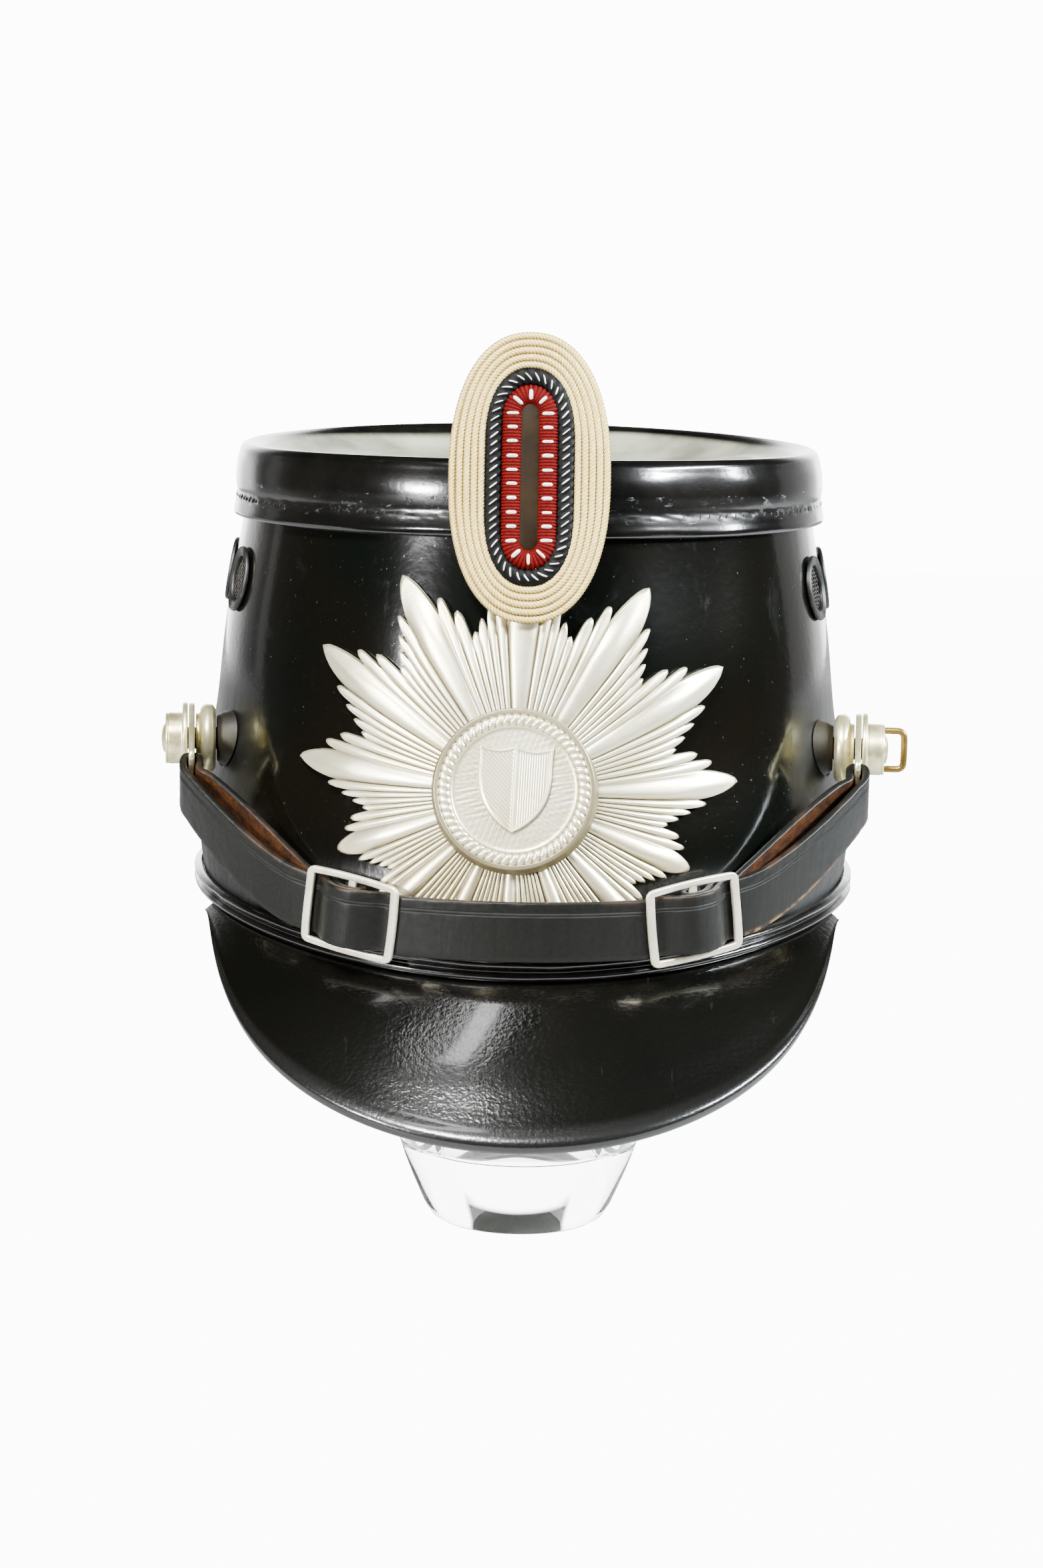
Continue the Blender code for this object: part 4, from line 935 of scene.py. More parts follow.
lug = dict(
    wall=0.0016, radius=0.0096, length=0.0180, angle=33.0, bar=0.0022, side=0.0020, slot=0.0042, bevel=0.0004,
)
strap = dict(
    width=0.0157, wall=0.0019, edge=0.0004, length=0.418, clear=0.0006, ease=0.0010, exit=0.0018, tail=0.0030,
    handles=(0.20, 0.25), lean=0.45, bow=0.0042, rise=0.0030, grooves=(0.0050, 0.0042), grooveWide=0.00016,
    grooveDeep=0.00013, wrinkle=0.00005, samples=760,
)
hook = dict(wire=0.0018, high=0.0123, reach=0.0062, sunk=0.0004, corner=0.0020)
rosetteLevel = post["seatHigh"] + gap  # each of the three a gap above the last
lugLevel = rosetteLevel + post["discHigh"] + post["neckHigh"] + gap
nutLevel = lugLevel + lug["wall"] + gap


def makePosts(metal, dull):
    # Turned pieces; the seat's foot slides along the post until it meets the crown.
    p = post
    place = postFrame()

    def side(radius, rows, level, high=1):
        # a stretch of profile from shares of a radius and of a height above a level
        return [(p[radius] * r, level + high * h) for r, h in p[rows]]

    def turnedOn(profile):
        return lathe(profile, p["sides"], place)

    clear, neck = p["shank"] + gap, rosetteLevel + p["discHigh"]
    face = nutLevel + p["flangeHigh"]
    top, shankTop = face + p["nutHigh"], nutLevel + p["nutHigh"] * 0.6
    disc = side("disc", "discSide", rosetteLevel, p["discHigh"]) + side("neck", "neckSide", neck, p["neckHigh"])
    disc = [(clear, rosetteLevel), *disc, (clear, neck + p["neckHigh"])]
    cap = [(0, shankTop + gap), (clear, shankTop + gap), (clear, nutLevel)]
    cap += side("flange", "flangeLow", nutLevel) + side("flange", "flangeTop", face) + side("nut", "nutLow", face)
    cap += side("nut", "nutTop", top) + side("dome", "domeLow", top) + side("dome", "domeSide", top, p["domeHigh"])
    seat = [(0, shankTop), (p["shank"], shankTop), (p["shank"], p["seatHigh"])]
    seat = softCorners(seat + side("seat", "seatSide", 0, p["seatHigh"]), 0.0003, 4)[:-1]
    foot = turnedOn([(p["seat"], 0.0), (p["shank"], 0.0)])
    for _ in range(10):
        foot = foot + place[3] * (gap - crownPlace(foot)[1])[..., None]
    inside = -crown["wall"] - p["inside"]
    grids = [
        # the seat takes the near-black painted-shade alloy
        ("Seat", np.concatenate([turnedOn(seat), foot, turnedOn([(p["shank"], inside), (0, inside)])]), False, dull),
        ("Rosette", turnedOn(softCorners(disc, 0.0003, 4, closed=True)), True, metal),
        ("Nut", turnedOn(softCorners(cap, 0.0002, 4)), False, metal),
    ]
    for sign, hand in hands:
        for kind, grid, ring, finish in grids:
            piece = patch(mirror(grid, sign), ring, True)
            addPiece(f"post{kind}_{hand}", piece, finish, f"post_{kind.lower()}_{hand}", sharp=50)


def lugFrame():
    # Middle of the lug's front bar: along (to the strap), across and outward.
    origin, back, up, outward = postFrame()
    along, across = turned(-back, up, -math.radians(lug["angle"]))
    return origin + outward * (lugLevel + lug["wall"] / 2) + along * lug["length"], along, across, outward


def plateRings(outline, half, bevel):
    # A flat plate as rings: middle, bevelled upper edge, lower edge, middle.
    centre = outline.mean(axis=0)
    size = np.linalg.norm(outline - centre, axis=1).mean()
    small, mid = (centre + (outline - centre) * (1 - cut / size) for cut in (bevel, bevel * 0.3))
    rows = [(centre + 0 * outline, half), (small, half), (mid, half - bevel * 0.3), (outline, half - bevel)]
    rows += [(flat, -high) for flat, high in rows[::-1]]
    return np.stack([np.column_stack([flat, np.full(len(flat), h)]) for flat, h in rows])


def makeLugs(metal):
    # Round plate on the post, drawn out to a slotted end.
    s = lug
    half = strap["width"] / 2 + strap["clear"]
    front, back = s["bar"] / 2, -s["bar"] / 2 - s["slot"]
    head = math.pi / 2 + np.linspace(0, math.pi, 40)
    shoulder = (back - s["side"], half + s["side"])
    outline = [polar(s["radius"], head) - (s["length"], 0), [(shoulder[0], -shoulder[1])]]
    for sign, start in ((-1, -math.pi / 2), (1, 0)):
        a = np.linspace(start, start + math.pi / 2, 10)
        outline.append(polar(s["side"], a) + (front - s["side"], sign * half))
    outline = softCorners(np.concatenate([*outline, [shoulder]]), 0.0004, 2, closed=True)
    slot = softCorners([(back, -half), (-front, -half), (-front, half), (back, half)], 0.0006, 5, closed=True)
    bore = circle(post["shank"] + gap, 40) - (s["length"], 0)
    place = lugFrame()
    for side, hand in hands:
        plate = sided(plateRings(outline, s["wall"] / 2, s["bevel"]), place, side)
        plate = addPiece(f"lugPlate_{hand}", plate, metal, f"lug_plate_{hand}", sharp=50)
        cutAway(plate, [sided(plateRings(flat, s["wall"], 0.0001), place, side) for flat in (slot, bore)])


def makeHook(brass):
    # Wire bent to three sides of a rectangle, its feet in the nut's face.
    s = hook
    origin, back, up, outward = postFrame()
    face = nutLevel + post["flangeHigh"] + post["nutHigh"]
    half, reach, foot = s["high"] / 2 - s["wire"] / 2, face + s["reach"] - s["wire"] / 2, face - s["sunk"]
    path = spline(softCorners([(-half, foot), (-half, reach), (half, reach), (half, foot)], s["corner"], 12), 90)
    tube = capped(sweep(onto(path, origin, up, outward), np.tile(back, (90, 1)), circle(s["wire"] / 2, 20)))
    addPiece("strapHook", patch(tube, wrapCols=True), brass, "strap_hook", sharp=60)


# chin strap and buckles

buckle = dict(length=0.0280, bar=0.0023, side=0.0018, wall=0.0012, corner=0.0013, angle=26.7, slope=7.0, rise=0.0018)
star = dict(
    clear=0.0008, spareLow=0.18, pin=0.0030, pinHalf=0.0010, shift=-0.0024, turn=2.0, radius=0.0625,
    seat=0.0008, wall=0.0010, relief=0.0014, perFlute=10, rings=42,
    rays=[(0, 0.98), (31, 1), (59.5, 1.04), (87.5, 1), (112.5, 0.82), (136, 0.84), (158, 0.69), (180, 0.63)],
    notches=[1, 1, 1, 1, 0.74, 0.78, 0.8, 0.8],
    outline=[
        (0, 1), (0.05, 0.975), (0.10, 0.93), (0.14, 0.875), (0.17, 0.81), (0.20, 0.852), (0.23, 0.86),
        (0.26, 0.83), (0.29, 0.745), (0.315, 0.782), (0.34, 0.79), (0.365, 0.765), (0.39, 0.69),
        (0.415, 0.728), (0.44, 0.735), (0.47, 0.715), (0.50, 0.675), (0.54, 0.685), (0.585, 0.66),
        (0.62, 0.765), (0.66, 0.785), (0.70, 0.775), (0.72, 0.73), (0.75, 0.845), (0.78, 0.857),
        (0.81, 0.85), (0.84, 0.80), (0.87, 0.865), (0.92, 0.94), (0.96, 0.982), (1, 1),
    ],
    flutes=[-0.16, 0.17, 0.29, 0.39, 0.50, 0.585, 0.72, 0.84, 1.17],
)
strapTurn = gap + strap["wall"] / 2  # from the strap's middle to what it bends round
strapPitch = gap + strap["wall"]
starTop = star["seat"] + star["wall"] + star["relief"]


def strapMiddle():
    return float(edgeHeight(0)) + band["height"] + strap["clear"] + strap["width"] / 2


def buckleFrame():
    # Middle of the right buckle: along the strap, across it and outward.
    theta = math.radians(buckle["angle"])
    z = strapMiddle() + buckle["rise"]
    side, up, outward = crownFrame(theta, z)
    along, across = turned(side, up, math.radians(buckle["slope"]))
    ground = crownPoint(theta, z)
    fall = crownPlace(ground - along * buckle["length"] / 2)[1]
    return ground + outward * (starTop + strapTurn - fall + buckle["wall"] / 2 + strapTurn), along, across, outward


def wrapPoints(width, wall):
    # Round the far side of a bar, from below it to above, as (along, outward).
    a = np.radians([270, 225, 180, 180, 135, 90])
    corner = [(-width / 2, side * wall / 2) for side in (-1, -1, -1, 1, 1, 1)]
    return corner + polar(strapTurn, a)


def freeRun(start, startWay, end, endWay, bow):
    # A cubic between two ends with given directions, its handles bowed.
    length = np.linalg.norm(end - start)
    a = start + startWay * length * strap["handles"][0] + bow
    b = end - endWay * length * strap["handles"][1] + bow
    t = np.linspace(0, 1, 10)[1:-1, None]
    return start * (1 - t) ** 3 + 3 * a * t * (1 - t) ** 2 + 3 * b * t ** 2 * (1 - t) + end * t ** 3, t


def strapLine():
    # Points and across directions of the right half, from its end to the front.
    s, b = strap, buckle
    over = b["wall"] / 2 + strapTurn
    under = over + strapPitch
    share = np.linspace(0, 1, 7)
    first, last = b["bar"] / 2, b["length"] / 2 - b["bar"] - s["ease"]
    fold = np.column_stack([first + (last - first) * share, over - (over + under) * share ** 2 * (3 - 2 * share)])
    fold = np.vstack([fold, [(b["length"] / 2 + s["exit"], -under)]])
    slope = unit(np.gradient(fold, axis=0))
    above = fold + np.column_stack([-slope[:, 1], slope[:, 0]]) * strapPitch
    radius = strapTurn + strapPitch
    corner = np.array([-b["bar"] / 2, b["wall"] / 2])
    landing = np.array([-b["length"] / 2 + b["bar"] + s["ease"], -over])
    reach = corner - landing
    lean = math.asin(radius / np.linalg.norm(reach)) + math.atan2(reach[1], reach[0])
    a = math.pi / 2 + lean * np.linspace(0, 1, 3)
    hump = np.vstack([above[::-1], corner + polar(radius, a), landing, (-b["length"] / 2, -over)])

    middle, along, wide, outward = buckleFrame()
    bar, lugWay, lugWide, lugOut = lugFrame()
    level, near = lug["wall"] / 2 + strapTurn, lug["bar"] / 2 + s["exit"]
    leaving = unit(lugWay - lugOut * s["lean"])
    tail = np.vstack([[(s["tail"], -over)], wrapPoints(b["bar"], b["wall"]), fold])
    wrap = np.vstack([[(near, -level)], wrapPoints(lug["bar"], lug["wall"]), [(near, level)]])
    first, second = onto(tail, middle, along, outward), onto(wrap, bar, lugWay, lugOut)
    third = onto(hump, middle, along, outward)
    innerRun, t = freeRun(first[-1], along, second[0], -leaving, lugWide * s["rise"] - outward * s["bow"])
    outerRun, t = freeRun(second[-1], leaving, middle + along * fold[-1, 0] - outward * over, -along, 0)
    theta, out = crownPlace(third[-1])
    left = np.linspace(1, 0, 8)[1:]
    height = strapMiddle() + (third[-1][2] - strapMiddle()) * left ** 2
    front = crownPoint(theta * left, height, out)
    points = np.vstack([first, innerRun, second, outerRun, third, front])
    ways = [np.tile(wide, (len(first), 1)), wide * (1 - t) + lugWide * t, np.tile(lugWide, (len(second), 1))]
    ways += [lugWide * (1 - t) + wide * t, np.tile(wide, (len(third), 1)), crownFrame(theta * left, height)[1]]
    return points, np.vstack(ways)


def makeStrap(leather, suede):
    # One strap swept along its folded line: black outside with two creases, suede inside.
    s = strap
    line, width = (np.vstack([half, mirror(half, -1)[:-1][::-1]]) for half in strapLine())
    both = spline(np.column_stack([line, unit(width) * 0.0005]), s["samples"])
    line, width = both[:, :3], unit(both[:, 3:])
    flat, half = s["width"] / 2 - s["edge"], s["wall"] / 2
    w = spaced((-flat, 0.0036, 9), (0.0038, 0.0054, 17), (0.0057, flat, 4))
    crease = sum(np.exp(-((w - g) / s["grooveWide"]) ** 2) for g in s["grooves"])
    outer = np.column_stack([w, -half + s["grooveDeep"] * crease])
    a = np.linspace(-math.pi / 2, math.pi / 2, 9)[1:-1]
    edge = np.column_stack([flat + s["edge"] * np.cos(a), half * 0.98 * np.sin(a)])
    inner = np.column_stack([np.linspace(flat, -flat, 8), np.full(8, half)])
    outline = np.concatenate([outer, edge, inner, edge[::-1] * (-1, 1)])
    run = np.linspace(0, s["length"], len(line))[:, None]
    grid = np.repeat(outline[None], len(line), axis=0)
    grid[..., 1] += s["wrinkle"] * ripple(51, 0.004, run, outline[None, :, 0] * 2) * np.sign(-outline[None, :, 1])
    paint = np.zeros(len(outline), int)
    paint[len(outer) + len(edge):len(outline) - len(edge) - 1] = 1
    tube = sweep(line, width, grid)
    mark = np.broadcast_to(outline[:, 0] / s["width"] + 0.5, tube.shape[:2])
    patches = [patch(tube, wrapCols=True, paint=paint, mark=mark)]
    patches += [fan(tube[k], tube[k].mean(axis=0)) for k in (0, -1)]
    addPiece("chinStrap", patches, [leather, suede], "chin_strap", sharp=60)


def makeBuckles(steel):
    # Flat frame swept round a rounded rectangle, wider at its ends, with a middle bar.
    b = buckle
    place = buckleFrame()
    high = strap["width"] / 2 + strap["clear"] + b["side"] / 2
    long = b["length"] / 2 - b["bar"] / 2
    path = softCorners([(long, high), (-long, high), (-long, -high), (long, -high)], b["corner"], 9, closed=True)
    path = spline(np.vstack([path, path[:1]]), 161)[:-1]
    step = wayRound(path)
    round4 = circle(1, 20)
    round4 = np.sign(round4) * np.abs(round4) ** 0.45
    half = b["bar"] / 2 * step[:, 1] ** 2 + b["side"] / 2 * step[:, 0] ** 2
    outline = round4[None] * np.stack([half, np.full_like(half, b["wall"] / 2)], axis=-1)[:, None]
    wide = np.column_stack([-step[:, 1], step[:, 0], 0 * half])
    ring = sweep(np.column_stack([path, 0 * half]), wide, outline, closed=True)
    line = np.column_stack([np.zeros(20), np.linspace(-high, high, 20), np.zeros(20)])
    bar = capped(sweep(line, np.tile((1.0, 0, 0), (20, 1)), round4 * (b["bar"] / 2, b["wall"] / 2 * 0.92)))
    for side, hand in hands:
        parts = [sided(ring, place, side, True), sided(bar, place, side)]
        addPiece(f"slideBuckle_{hand}", parts, steel, f"buckle_{hand}", sharp=60)


# star plate, medallion and shield


def pinHeight():
    return float(crestHeight(0)) - lid["roll"] - star["pin"]


def starMiddle():
    # Medallion's centre, between the head band and the cockade's pin.
    s = star
    low = float(edgeHeight(0)) + band["height"] + s["clear"] + s["radius"] * s["rays"][-1][1]
    high = pinHeight() - s["pinHalf"] - s["clear"] - s["radius"] * s["rays"][0][1]
    return low + (high - low) * s["spareLow"]


def starFrame():
    z = starMiddle()
    theta = float(angleOfArc(np.array(star["shift"]), z))
    side, rise, outward = crownFrame(theta, z)
    return crownPoint(theta, z), *turned(side, rise, -math.radians(star["turn"])), outward


def onStar(x, y, out):
    # Flat points wrapped round the crown's front, a distance out.
    run, rise = turned(x, y, math.radians(star["turn"]))
    z = starMiddle() + rise * crownFrame(0.0, starMiddle())[1][2]
    return crownPoint(angleOfArc(star["shift"] + run, z), z, out)


def makeStar(finish):
    # Ray outline r(a) all round; each flute's height is (1 - u^2)^0.6 across it, falling off at the tips.
    s = star
    flutes = np.array(s["flutes"])
    edges = np.clip(flutes, 0, 1)
    share = np.concatenate([np.linspace(a, b, s["perFlute"])[:-1] for a, b in zip(edges, edges[1:])])
    pairs = list(zip(s["rays"], s["rays"][1:]))
    angle = np.concatenate([a + (b - a) * share for (a, _), (b, _) in pairs])
    size = np.concatenate([a + (b - a) * share for (_, a), (_, b) in pairs])
    local = np.tile(share, len(pairs))
    angle = np.concatenate([angle, [180], -angle[1:][::-1]])
    size = np.concatenate([size, [s["rays"][-1][1]], size[1:][::-1]])
    local = np.concatenate([local, [0], local[1:][::-1]])
    notch = np.interp(np.abs(angle), [a for a, _ in s["rays"]], s["notches"])
    reach = s["radius"] * size * (1 - notch * (1 - np.interp(local, *np.transpose(s["outline"]))))
    k = np.clip(np.searchsorted(flutes, local, side="right") - 1, 0, len(flutes) - 2)
    centre, half = (flutes[k] + flutes[k + 1]) / 2, (flutes[k + 1] - flutes[k]) / 2
    main = (k == 0) | (k == len(flutes) - 2)
    centre, half = np.where(main, np.round(local), centre), np.where(main, 0.17, half)
    bulge = np.clip(1 - ((local - centre) / half) ** 2, 0, 1) ** 0.6
    rho = spaced((0, 0.12, 2), (0.24, 0.9, s["rings"] - 14), (0.905, 1, 14))[:, None]
    fall = 1 - 0.80 * smoothStep(0.70, 1.0, rho) ** 1.2
    grow = np.clip(0.35 + rho * 0.9, 0, 1)
    relief = bulge * np.where(main, 1.0, 0.52) * fall * grow + 0.06 * (1 - rho)
    high = s["wall"] + s["relief"] * np.where(rho < 0.2, 0.5, relief)
    high = high - 0.0006 * smoothStep(0.975, 1, rho) ** 2
    a = np.radians(angle)
    x, y = rho * reach * np.sin(a), rho * reach * np.cos(a)
    top = onStar(x, y, s["seat"] + high)
    back = onStar(x[::-6], y[::-6], s["seat"])
    back = np.concatenate([onStar(x[-1:], y[-1:], s["seat"] + 0.0001), back[1:], onStar(x[:1], y[:1], s["seat"])])
    # the mark is the flute's bulge, low in the grooves, where the star finish paints shade and tarnish
    mark = np.concatenate([bulge + 0 * rho, np.ones((len(back), len(a)))])
    plate = patch(np.concatenate([top, back]), wrapCols=True, mark=mark)
    addPiece("starPlate", plate, finish, "star", sharp=70)


medal = dict(
    radius=0.0207, wall=0.0018, field=0.0160, pebble=0.00004, line=0.00030, rope=0.01775, ropeHalf=0.00150,
    strands=58, rim=0.0010, rimFrom=0.0191, edge=0.0201, cols=464,
)
shield = dict(
    width=0.0190, height=0.0220, wall=0.0009, border=0.0009, hatch=0.00062, hatchHigh=0.00006,
    dip=0.0011, rib=0.00035,
    side=[(0, 0), (0.06, 0.24), (0.16, 0.52), (0.34, 0.82), (0.58, 0.97), (0.80, 0.98), (1, 1)],
)


def makeMedallion(finish):
    # Round boss: pebbled field, rope ring whose strands follow cos(n a / 2 + slant), flat outer rim.
    m = medal
    back = starTop + gap
    r = spaced((0, m["field"] - 0.0002, 30), (m["field"], 0.0195, 38), (0.0197, m["radius"], 10))[:, None]
    a = turnAngles(m["cols"])[None]
    x, y = r * np.cos(a), r * np.sin(a)
    u = (r - m["rope"]) / m["ropeHalf"]
    lobe = np.abs(np.cos(a * m["strands"] / 2 + u * 0.9)) ** 0.7
    rope = np.sqrt(np.clip(1 - u ** 2, 0, 1)) * (0.45 + 0.55 * lobe) * m["rim"]
    pebble = ripple(61, 0.0011, x, y) * (1 - smoothStep(m["field"] - 0.0010, m["field"], r))
    line = m["line"] * np.exp(-((r - m["field"]) / 0.0002) ** 2)
    rim = m["rim"] * 0.72 * smoothStep(m["rimFrom"], m["rimFrom"] + 0.0003, r)
    rim = rim - 0.0006 * smoothStep(m["edge"], m["radius"], r) ** 3
    high = back + m["wall"] + m["pebble"] * pebble + rope + line + rim
    under = np.array([m["radius"], m["radius"] * 0.72, m["radius"] * 0.4, 0])[:, None]
    grid = [onFrame(grid3(x, y, high), starFrame()), onStar(under * np.cos(a), under * np.sin(a), back)]
    # the mark is lower between the rope's strands, where the star finish paints shade, and on the flat outer rim
    mark = 0.72 + 0.28 * rope / m["rim"] - 0.62 * (1 - lobe) * (np.abs(u) < 1)
    mark = mark - 0.45 * smoothStep(m["rimFrom"], m["rimFrom"] + 0.0004, r) + pebble * 0.10
    mark = np.concatenate([np.clip(mark, 0, 1), np.zeros((4, m["cols"]))])
    boss = patch(np.concatenate(grid), wrapCols=True, mark=mark)
    addPiece("starMedallion", boss, finish, "star_medallion", sharp=70)


def makeShield(finish):
    # Plain shield parted down its middle: x = u W(v), raised border and rib, slanted and upright hatching.
    s = shield
    place = starFrame()
    foot = starTop + gap + medal["wall"] + gap
    v = np.linspace(0, 1, 150)[:, None]
    u = np.linspace(-1, 1, 151)[None]
    wide = s["width"] / 2 * curveThrough(s["side"], v)
    x = u * wide
    y = s["height"] * (v - 0.5) - s["dip"] * np.sin(math.pi * np.abs(u) * 0.999) * v ** 3
    edge = np.minimum((1 - np.abs(u)) * wide * 0.85, (1 - v) * s["height"] * 0.98)
    rib = np.exp(-(x / s["rib"]) ** 2)
    raised = np.maximum(1 - smoothStep(s["border"] * 0.5, s["border"], edge), rib)
    slant = np.cos(2 * math.pi * (x + y) / 1.414 / s["hatch"] * 0.8) * (x < 0)
    upright = np.cos(2 * math.pi * x / s["hatch"]) * (x >= 0)
    hatch = (slant + upright) * smoothStep(s["border"], s["border"] * 1.5, edge)
    high = s["wall"] * (0.55 + 0.45 * raised) + s["hatchHigh"] * hatch * (1 - rib)
    high = high - 0.00035 * (1 - smoothStep(0, 0.00030, edge))
    top, base = (onFrame(grid3(x, y, foot + level), place) for level in (high, 0 * x))
    loop = np.concatenate([base[:, 0], base[-1, 1:-1], base[::-1, -1]])
    # the mark is high on the raised border, rib and hatch ridges and low in the recesses between them, where painted
    # shade goes
    patches = [patch(top, mark=np.clip(0.62 + 0.38 * raised + 0.16 * hatch, 0, 1)), fan(loop, base[75, 75])]
    patches += [patch(np.stack([grid[-1] for grid in (top, base)]))]
    patches += [patch(np.stack([grid[:, k] for grid in (top, base)])) for k in (0, -1)]
    addPiece("starShield", patches, finish, "star_shield", sharp=60)


# cockade

cockade = dict(
    width=0.0410, height=0.0735, drop=0.0053, dome=0.0042, edge=0.0024, bands=(0.0092, 0.0043, 0.0050),
    shapes=((2.25, 0), (2.5, 0.45), (2.8, 0.9), (2.8, 1)), cords=5, twist=0.00090, strands=4, step=0.00021,
    fat=0.52, tops=[(0, 0.0019), (0.12, 0.0024), (0.7, 0.0030), (1, 0.0030)],
    backing=[(0.0004, 0.0), (0.0002, 0.0009), (0.0010, 0.0014), (0.0060, 0.0019), (0.0091, 0.0020), (0.0092, 0.0)],
    behind=[(0.40, 0), (0.85, 0.05), (1.00, 0.17), (1.05, 0.42), (0.80, 0.68), (0.72, 0.80), (0.84, 0.92), (0.76, 1)],
    plate=[(0, 0.0), (0.5, 0.0), (1, 0.0), (1, 0.0031), (0.985, 0.0033), (0.6, 0.0034), (0.3, 0.0034), (0, 0.0034)],
)
# the two wound rings: points along, turns' pitch, then the threads' pitch, span, height, radius and slide
darkRing = dict(count=800, turns=0.0021, pitch=0.0021, span=0.46, lift=1.0, radius=0.00020, slide=-0.40)
redRing = dict(count=680, turns=0.00080, pitch=0.0036, span=0.62, lift=0.99, radius=0.00048, slide=0.0)


def cockadePlace():
    # It leans as the crown's front does, a gap in front of the farthest thing behind it.
    c = cockade
    crest = float(crestHeight(0))
    z = crest - c["drop"]
    slope = math.atan((crown["lengthLow"] - crown["lengthTop"]) / 2 / crown["height"])
    across, up = np.array([1.0, 0.0, 0.0]), np.array([0.0, math.sin(slope), math.cos(slope)])
    outward = np.cross(across, up)
    origin = crownPoint(0.0, z)
    behind = [crownPoint(0.0, crest - lid["skirt"] * d, lid["bulge"] * b) for b, d in c["behind"]]
    beside = np.linspace(z - c["height"] / 2, starMiddle() + star["radius"], 5)
    behind += [crownPoint(0.0, h, starTop) for h in beside]
    reach = max(float((point - origin) @ outward) for point in behind)
    return origin + outward * (reach + gap), across, up, outward


def ovalPath(width, height, shape, count):
    # Sampled evenly: x = sgn(cos) |cos|^(2/p) w/2, blended with a straight-sided oval with round ends.
    power, straight = shape
    a = np.linspace(0, 2 * math.pi, 4001)
    x, y = (np.sign(s) * np.abs(s) ** (2 / power) * size / 2 for s, size in ((np.cos(a), width), (np.sin(a), height)))
    x += straight * (np.cos(a) * width / 2 - x)
    y += straight * (np.sin(a) * width / 2 + (height - width) / 2 * np.clip(np.sin(a) * 8, -1, 1) - y)
    run = np.concatenate([[0], np.cumsum(np.hypot(np.diff(x), np.diff(y)))])
    even = np.linspace(0, run[-1], count + 1)[:-1]
    return np.column_stack([np.interp(even, run, x), np.interp(even, run, y), 0 * even]), even, run[-1]


def tubeRound(path, centreHigh, radius, turn):
    # A tube round a flat closed path: radius may vary along (rows) and around (columns).
    line = path + (0, 0, centreHigh)
    flat = polar(np.broadcast_to(radius, (len(path), turn.size)), turn)
    wide = np.cross(wayRound(line), (0, 0, 1.0))
    return line[:, None] + flat[..., :1] * wide[:, None] + flat[..., 1:] * (0, 0, 1.0)


def dashes(path, run, length, row, centreHigh, lift, wide):
    # Short raised threads across a ring: each runs over angles span, sliding along the ring as it goes.
    t = np.linspace(-1, 1, 9)
    a = turnAngles(8)
    inside = 0.03 + 0.97 * np.sqrt(np.clip(1 - t ** 4, 0, 1))
    count = round(length / row["pitch"])
    draw = np.random.default_rng(count)
    made = []
    for place in (np.arange(count) + 0.5) * length / count:
        long, fat, off = draw.uniform((0.80, 0.75, -0.0001), (1.08, 1.1, 0.0001))
        s = (place + off + row["slide"] * row["pitch"] * t * long) % length
        centre, ahead = (
            np.stack([np.interp(at, run, path[:, i], period=length) for i in (0, 1)], axis=-1)
            for at in (s, (s + 0.0002) % length)
        )
        way = unit(ahead - centre)
        outDir = np.column_stack([way[:, 1], -way[:, 0]])
        phi = math.pi / 2 + row["span"] * t * long
        point = np.column_stack([centre + outDir * (wide * np.cos(phi))[:, None], centreHigh + lift * np.sin(phi)])
        up = unit(np.column_stack([outDir * np.cos(phi)[:, None], np.sin(phi)]))
        sideways = np.cross(unit(np.gradient(point, axis=0)), up)
        ring = sideways[:, None] * np.cos(a)[:, None] + 0.7 * up[:, None] * np.sin(a)[:, None]
        made.append(capped(point[:, None] + (row["radius"] * fat * inside)[:, None, None] * ring))
    return made


